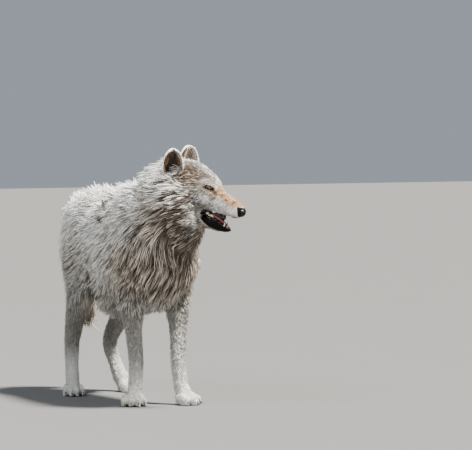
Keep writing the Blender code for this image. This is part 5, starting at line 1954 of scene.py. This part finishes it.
class WOLF_OT_whiskers(bpy.types.Operator):
    """Fine whiskers on both sides of the muzzle"""

    bl_idname = "wolf.whiskers"
    bl_label = "Whiskers"

    def execute(self, context):
        random = np.random.default_rng(SEED)
        material = moist_material("whisker_hair", (0.10, 0.085, 0.075), 0.5, 500.0, 0.1)
        points, faces = [], []
        for side, _ in SIDES:
            for k in range(context.scene.wolf_face.whisker_count):
                row, column = divmod(k, 4)
                across = side * (0.0225 + 0.002 * column)
                root = np.array((-0.034 - 0.012 * column, across, -0.018 - 0.006 * row))
                back, down = -0.45 + random.normal() * 0.12, -0.42 + random.normal() * 0.15
                way = unit(np.array((back, side * 0.85, down)))
                length = 0.030 + 0.010 * column + random.uniform(0.0, 0.008)
                self.hair(points, faces, root, way, length)
        mesh = bpy.data.meshes.new("whiskers")
        mesh.from_pydata([tuple(point) for point in from_head(np.array(points))], [], faces)
        finish_piece(merged(linked("whiskers", mesh), outwards=True), material)
        return {"FINISHED"}

    def hair(self, points, faces, root, way, length):
        """One tapered hair with five sections and a pointed end."""
        start = len(points)
        side_way = unit(np.cross(way, (0.0, 0.0, 1.0)))
        over = np.cross(side_way, way)
        for step in range(5):
            share = step / 5.0
            middle = root + way * length * share + WHISKER_DROOP * length * share**2
            for corner in range(3):
                turn = math.tau * corner / 3.0
                thick = 0.00032 * (1.0 - share * 0.8)
                points.append(middle + (side_way * math.cos(turn) + over * math.sin(turn)) * thick)
        points.append(root + way * length + WHISKER_DROOP * length)
        faces.append((start, start + 1, start + 2))
        for step in range(4):
            for corner in range(3):
                low, after = start + step * 3 + corner, start + step * 3 + (corner + 1) % 3
                faces.append((low, after, after + 3, low + 3))
        last = start + 12
        for corner in range(3):
            faces.append((last + corner, last + (corner + 1) % 3, start + 15))


# ---------------------------------------------------------------- stage
class WOLF_OT_stage(bpy.types.Operator):
    """Floor, soft lights and camera"""

    bl_idname = "wolf.stage"
    bl_label = "Stage"

    def execute(self, context):
        stage = context.scene.wolf_stage
        select_only()
        bpy.ops.mesh.primitive_plane_add(size=40.0, location=(0.0, 0.0, -0.0005))
        floor = bpy.context.active_object
        floor.name = "studio_floor"
        apply_all(floor)
        floor.data.materials.append(floor_material(stage.floor))
        world = bpy.data.worlds.new("studio")
        context.scene.world = world
        world.use_nodes = True
        sky = world.node_tree.nodes["Background"]
        sky.inputs["Color"].default_value = (0.80, 0.90, 1.0, 1.0)
        sky.inputs["Strength"].default_value = 0.40
        middle = np.array((CAD_BOX[0] + CAD_BOX[1]) * 0.5)
        key = self.lamp("key", "SUN", 25.0, (1.0, 0.965, 0.91), middle, (1.5, -1.3, 4.2))
        key.angle = math.radians(9.0)
        fill = self.lamp("fill", "AREA", 300.0, (0.90, 0.95, 1.0), middle, (-3.6, -1.4, 3.6))
        fill.shape = "DISK"
        fill.size = 3.0
        level, rise = math.cos(stage.elevation), math.sin(stage.elevation)
        back = np.array((math.sin(stage.azimuth) * level, -math.cos(stage.azimuth) * level, rise))
        aim = middle + np.array(CAMERA_AIM)
        data = bpy.data.cameras.new("camera")
        camera = linked("camera", data)
        data.sensor_width = 36.0
        data.lens = CAMERA_LENS * stage.distance / CAMERA_DISTANCE
        data.clip_end = 100.0
        camera.location = aim + back * stage.distance
        camera.rotation_mode = "QUATERNION"
        camera.rotation_quaternion = Vector(-back).to_track_quat("-Z", "Y")
        context.scene.camera = camera
        return {"FINISHED"}

    def lamp(self, name, kind, energy, colour, target, place):
        """A lamp that stands at a place, counted from its target, and shines at it."""
        data = bpy.data.lights.new(name, kind)
        data.energy = energy
        data.color = colour
        lamp = linked(name, data)
        lamp.location = Vector(target) + Vector(place)
        lamp.rotation_mode = "QUATERNION"
        lamp.rotation_quaternion = Vector(place).to_track_quat("Z", "Y")
        return data


# ---------------------------------------------------------------- panel and running
PIECES = (
    WOLF_OT_skin,
    WOLF_OT_coat_trunk,
    WOLF_OT_coat_neck,
    WOLF_OT_coat_head,
    WOLF_OT_coat_ears,
    WOLF_OT_coat_legs,
    WOLF_OT_coat_tail,
    WOLF_OT_eyes,
    WOLF_OT_nose,
    WOLF_OT_mouth,
    WOLF_OT_claws,
    WOLF_OT_whiskers,
)
SETTINGS = (WolfCoatSettings, WolfFaceSettings, WolfStageSettings)


class WOLF_PT_panel(bpy.types.Panel):
    """Everything that makes the wolf, in order"""

    bl_label = "Arctic Wolf"
    bl_idname = "WOLF_PT_panel"
    bl_space_type = "VIEW_3D"
    bl_region_type = "UI"
    bl_category = "Arctic Wolf"

    def draw(self, context):
        layout = self.layout
        for title, group in (("Coat", "wolf_coat"), ("Face", "wolf_face"), ("Stage", "wolf_stage")):
            box = layout.box()
            box.label(text=title)
            settings = getattr(context.scene, group)
            for name in settings.bl_rna.properties.keys():
                if name not in ("rna_type", "name"):
                    box.prop(settings, name)
        for piece in PIECES + (WOLF_OT_stage,):
            layout.operator(piece.bl_idname)


def register():
    for kind in SETTINGS + PIECES + (WOLF_OT_stage, WOLF_PT_panel):
        bpy.utils.register_class(kind)
    bpy.types.Scene.wolf_coat = PointerProperty(type=WolfCoatSettings)
    bpy.types.Scene.wolf_face = PointerProperty(type=WolfFaceSettings)
    bpy.types.Scene.wolf_stage = PointerProperty(type=WolfStageSettings)


def unregister():
    del bpy.types.Scene.wolf_stage, bpy.types.Scene.wolf_face, bpy.types.Scene.wolf_coat
    for kind in reversed(SETTINGS + PIECES + (WOLF_OT_stage, WOLF_PT_panel)):
        bpy.utils.unregister_class(kind)


def main():
    register()
    for piece in PIECES + (WOLF_OT_stage,):
        group, name = piece.bl_idname.split(".")
        getattr(getattr(bpy.ops, group), name)()


if __name__ == "__main__":
    main()
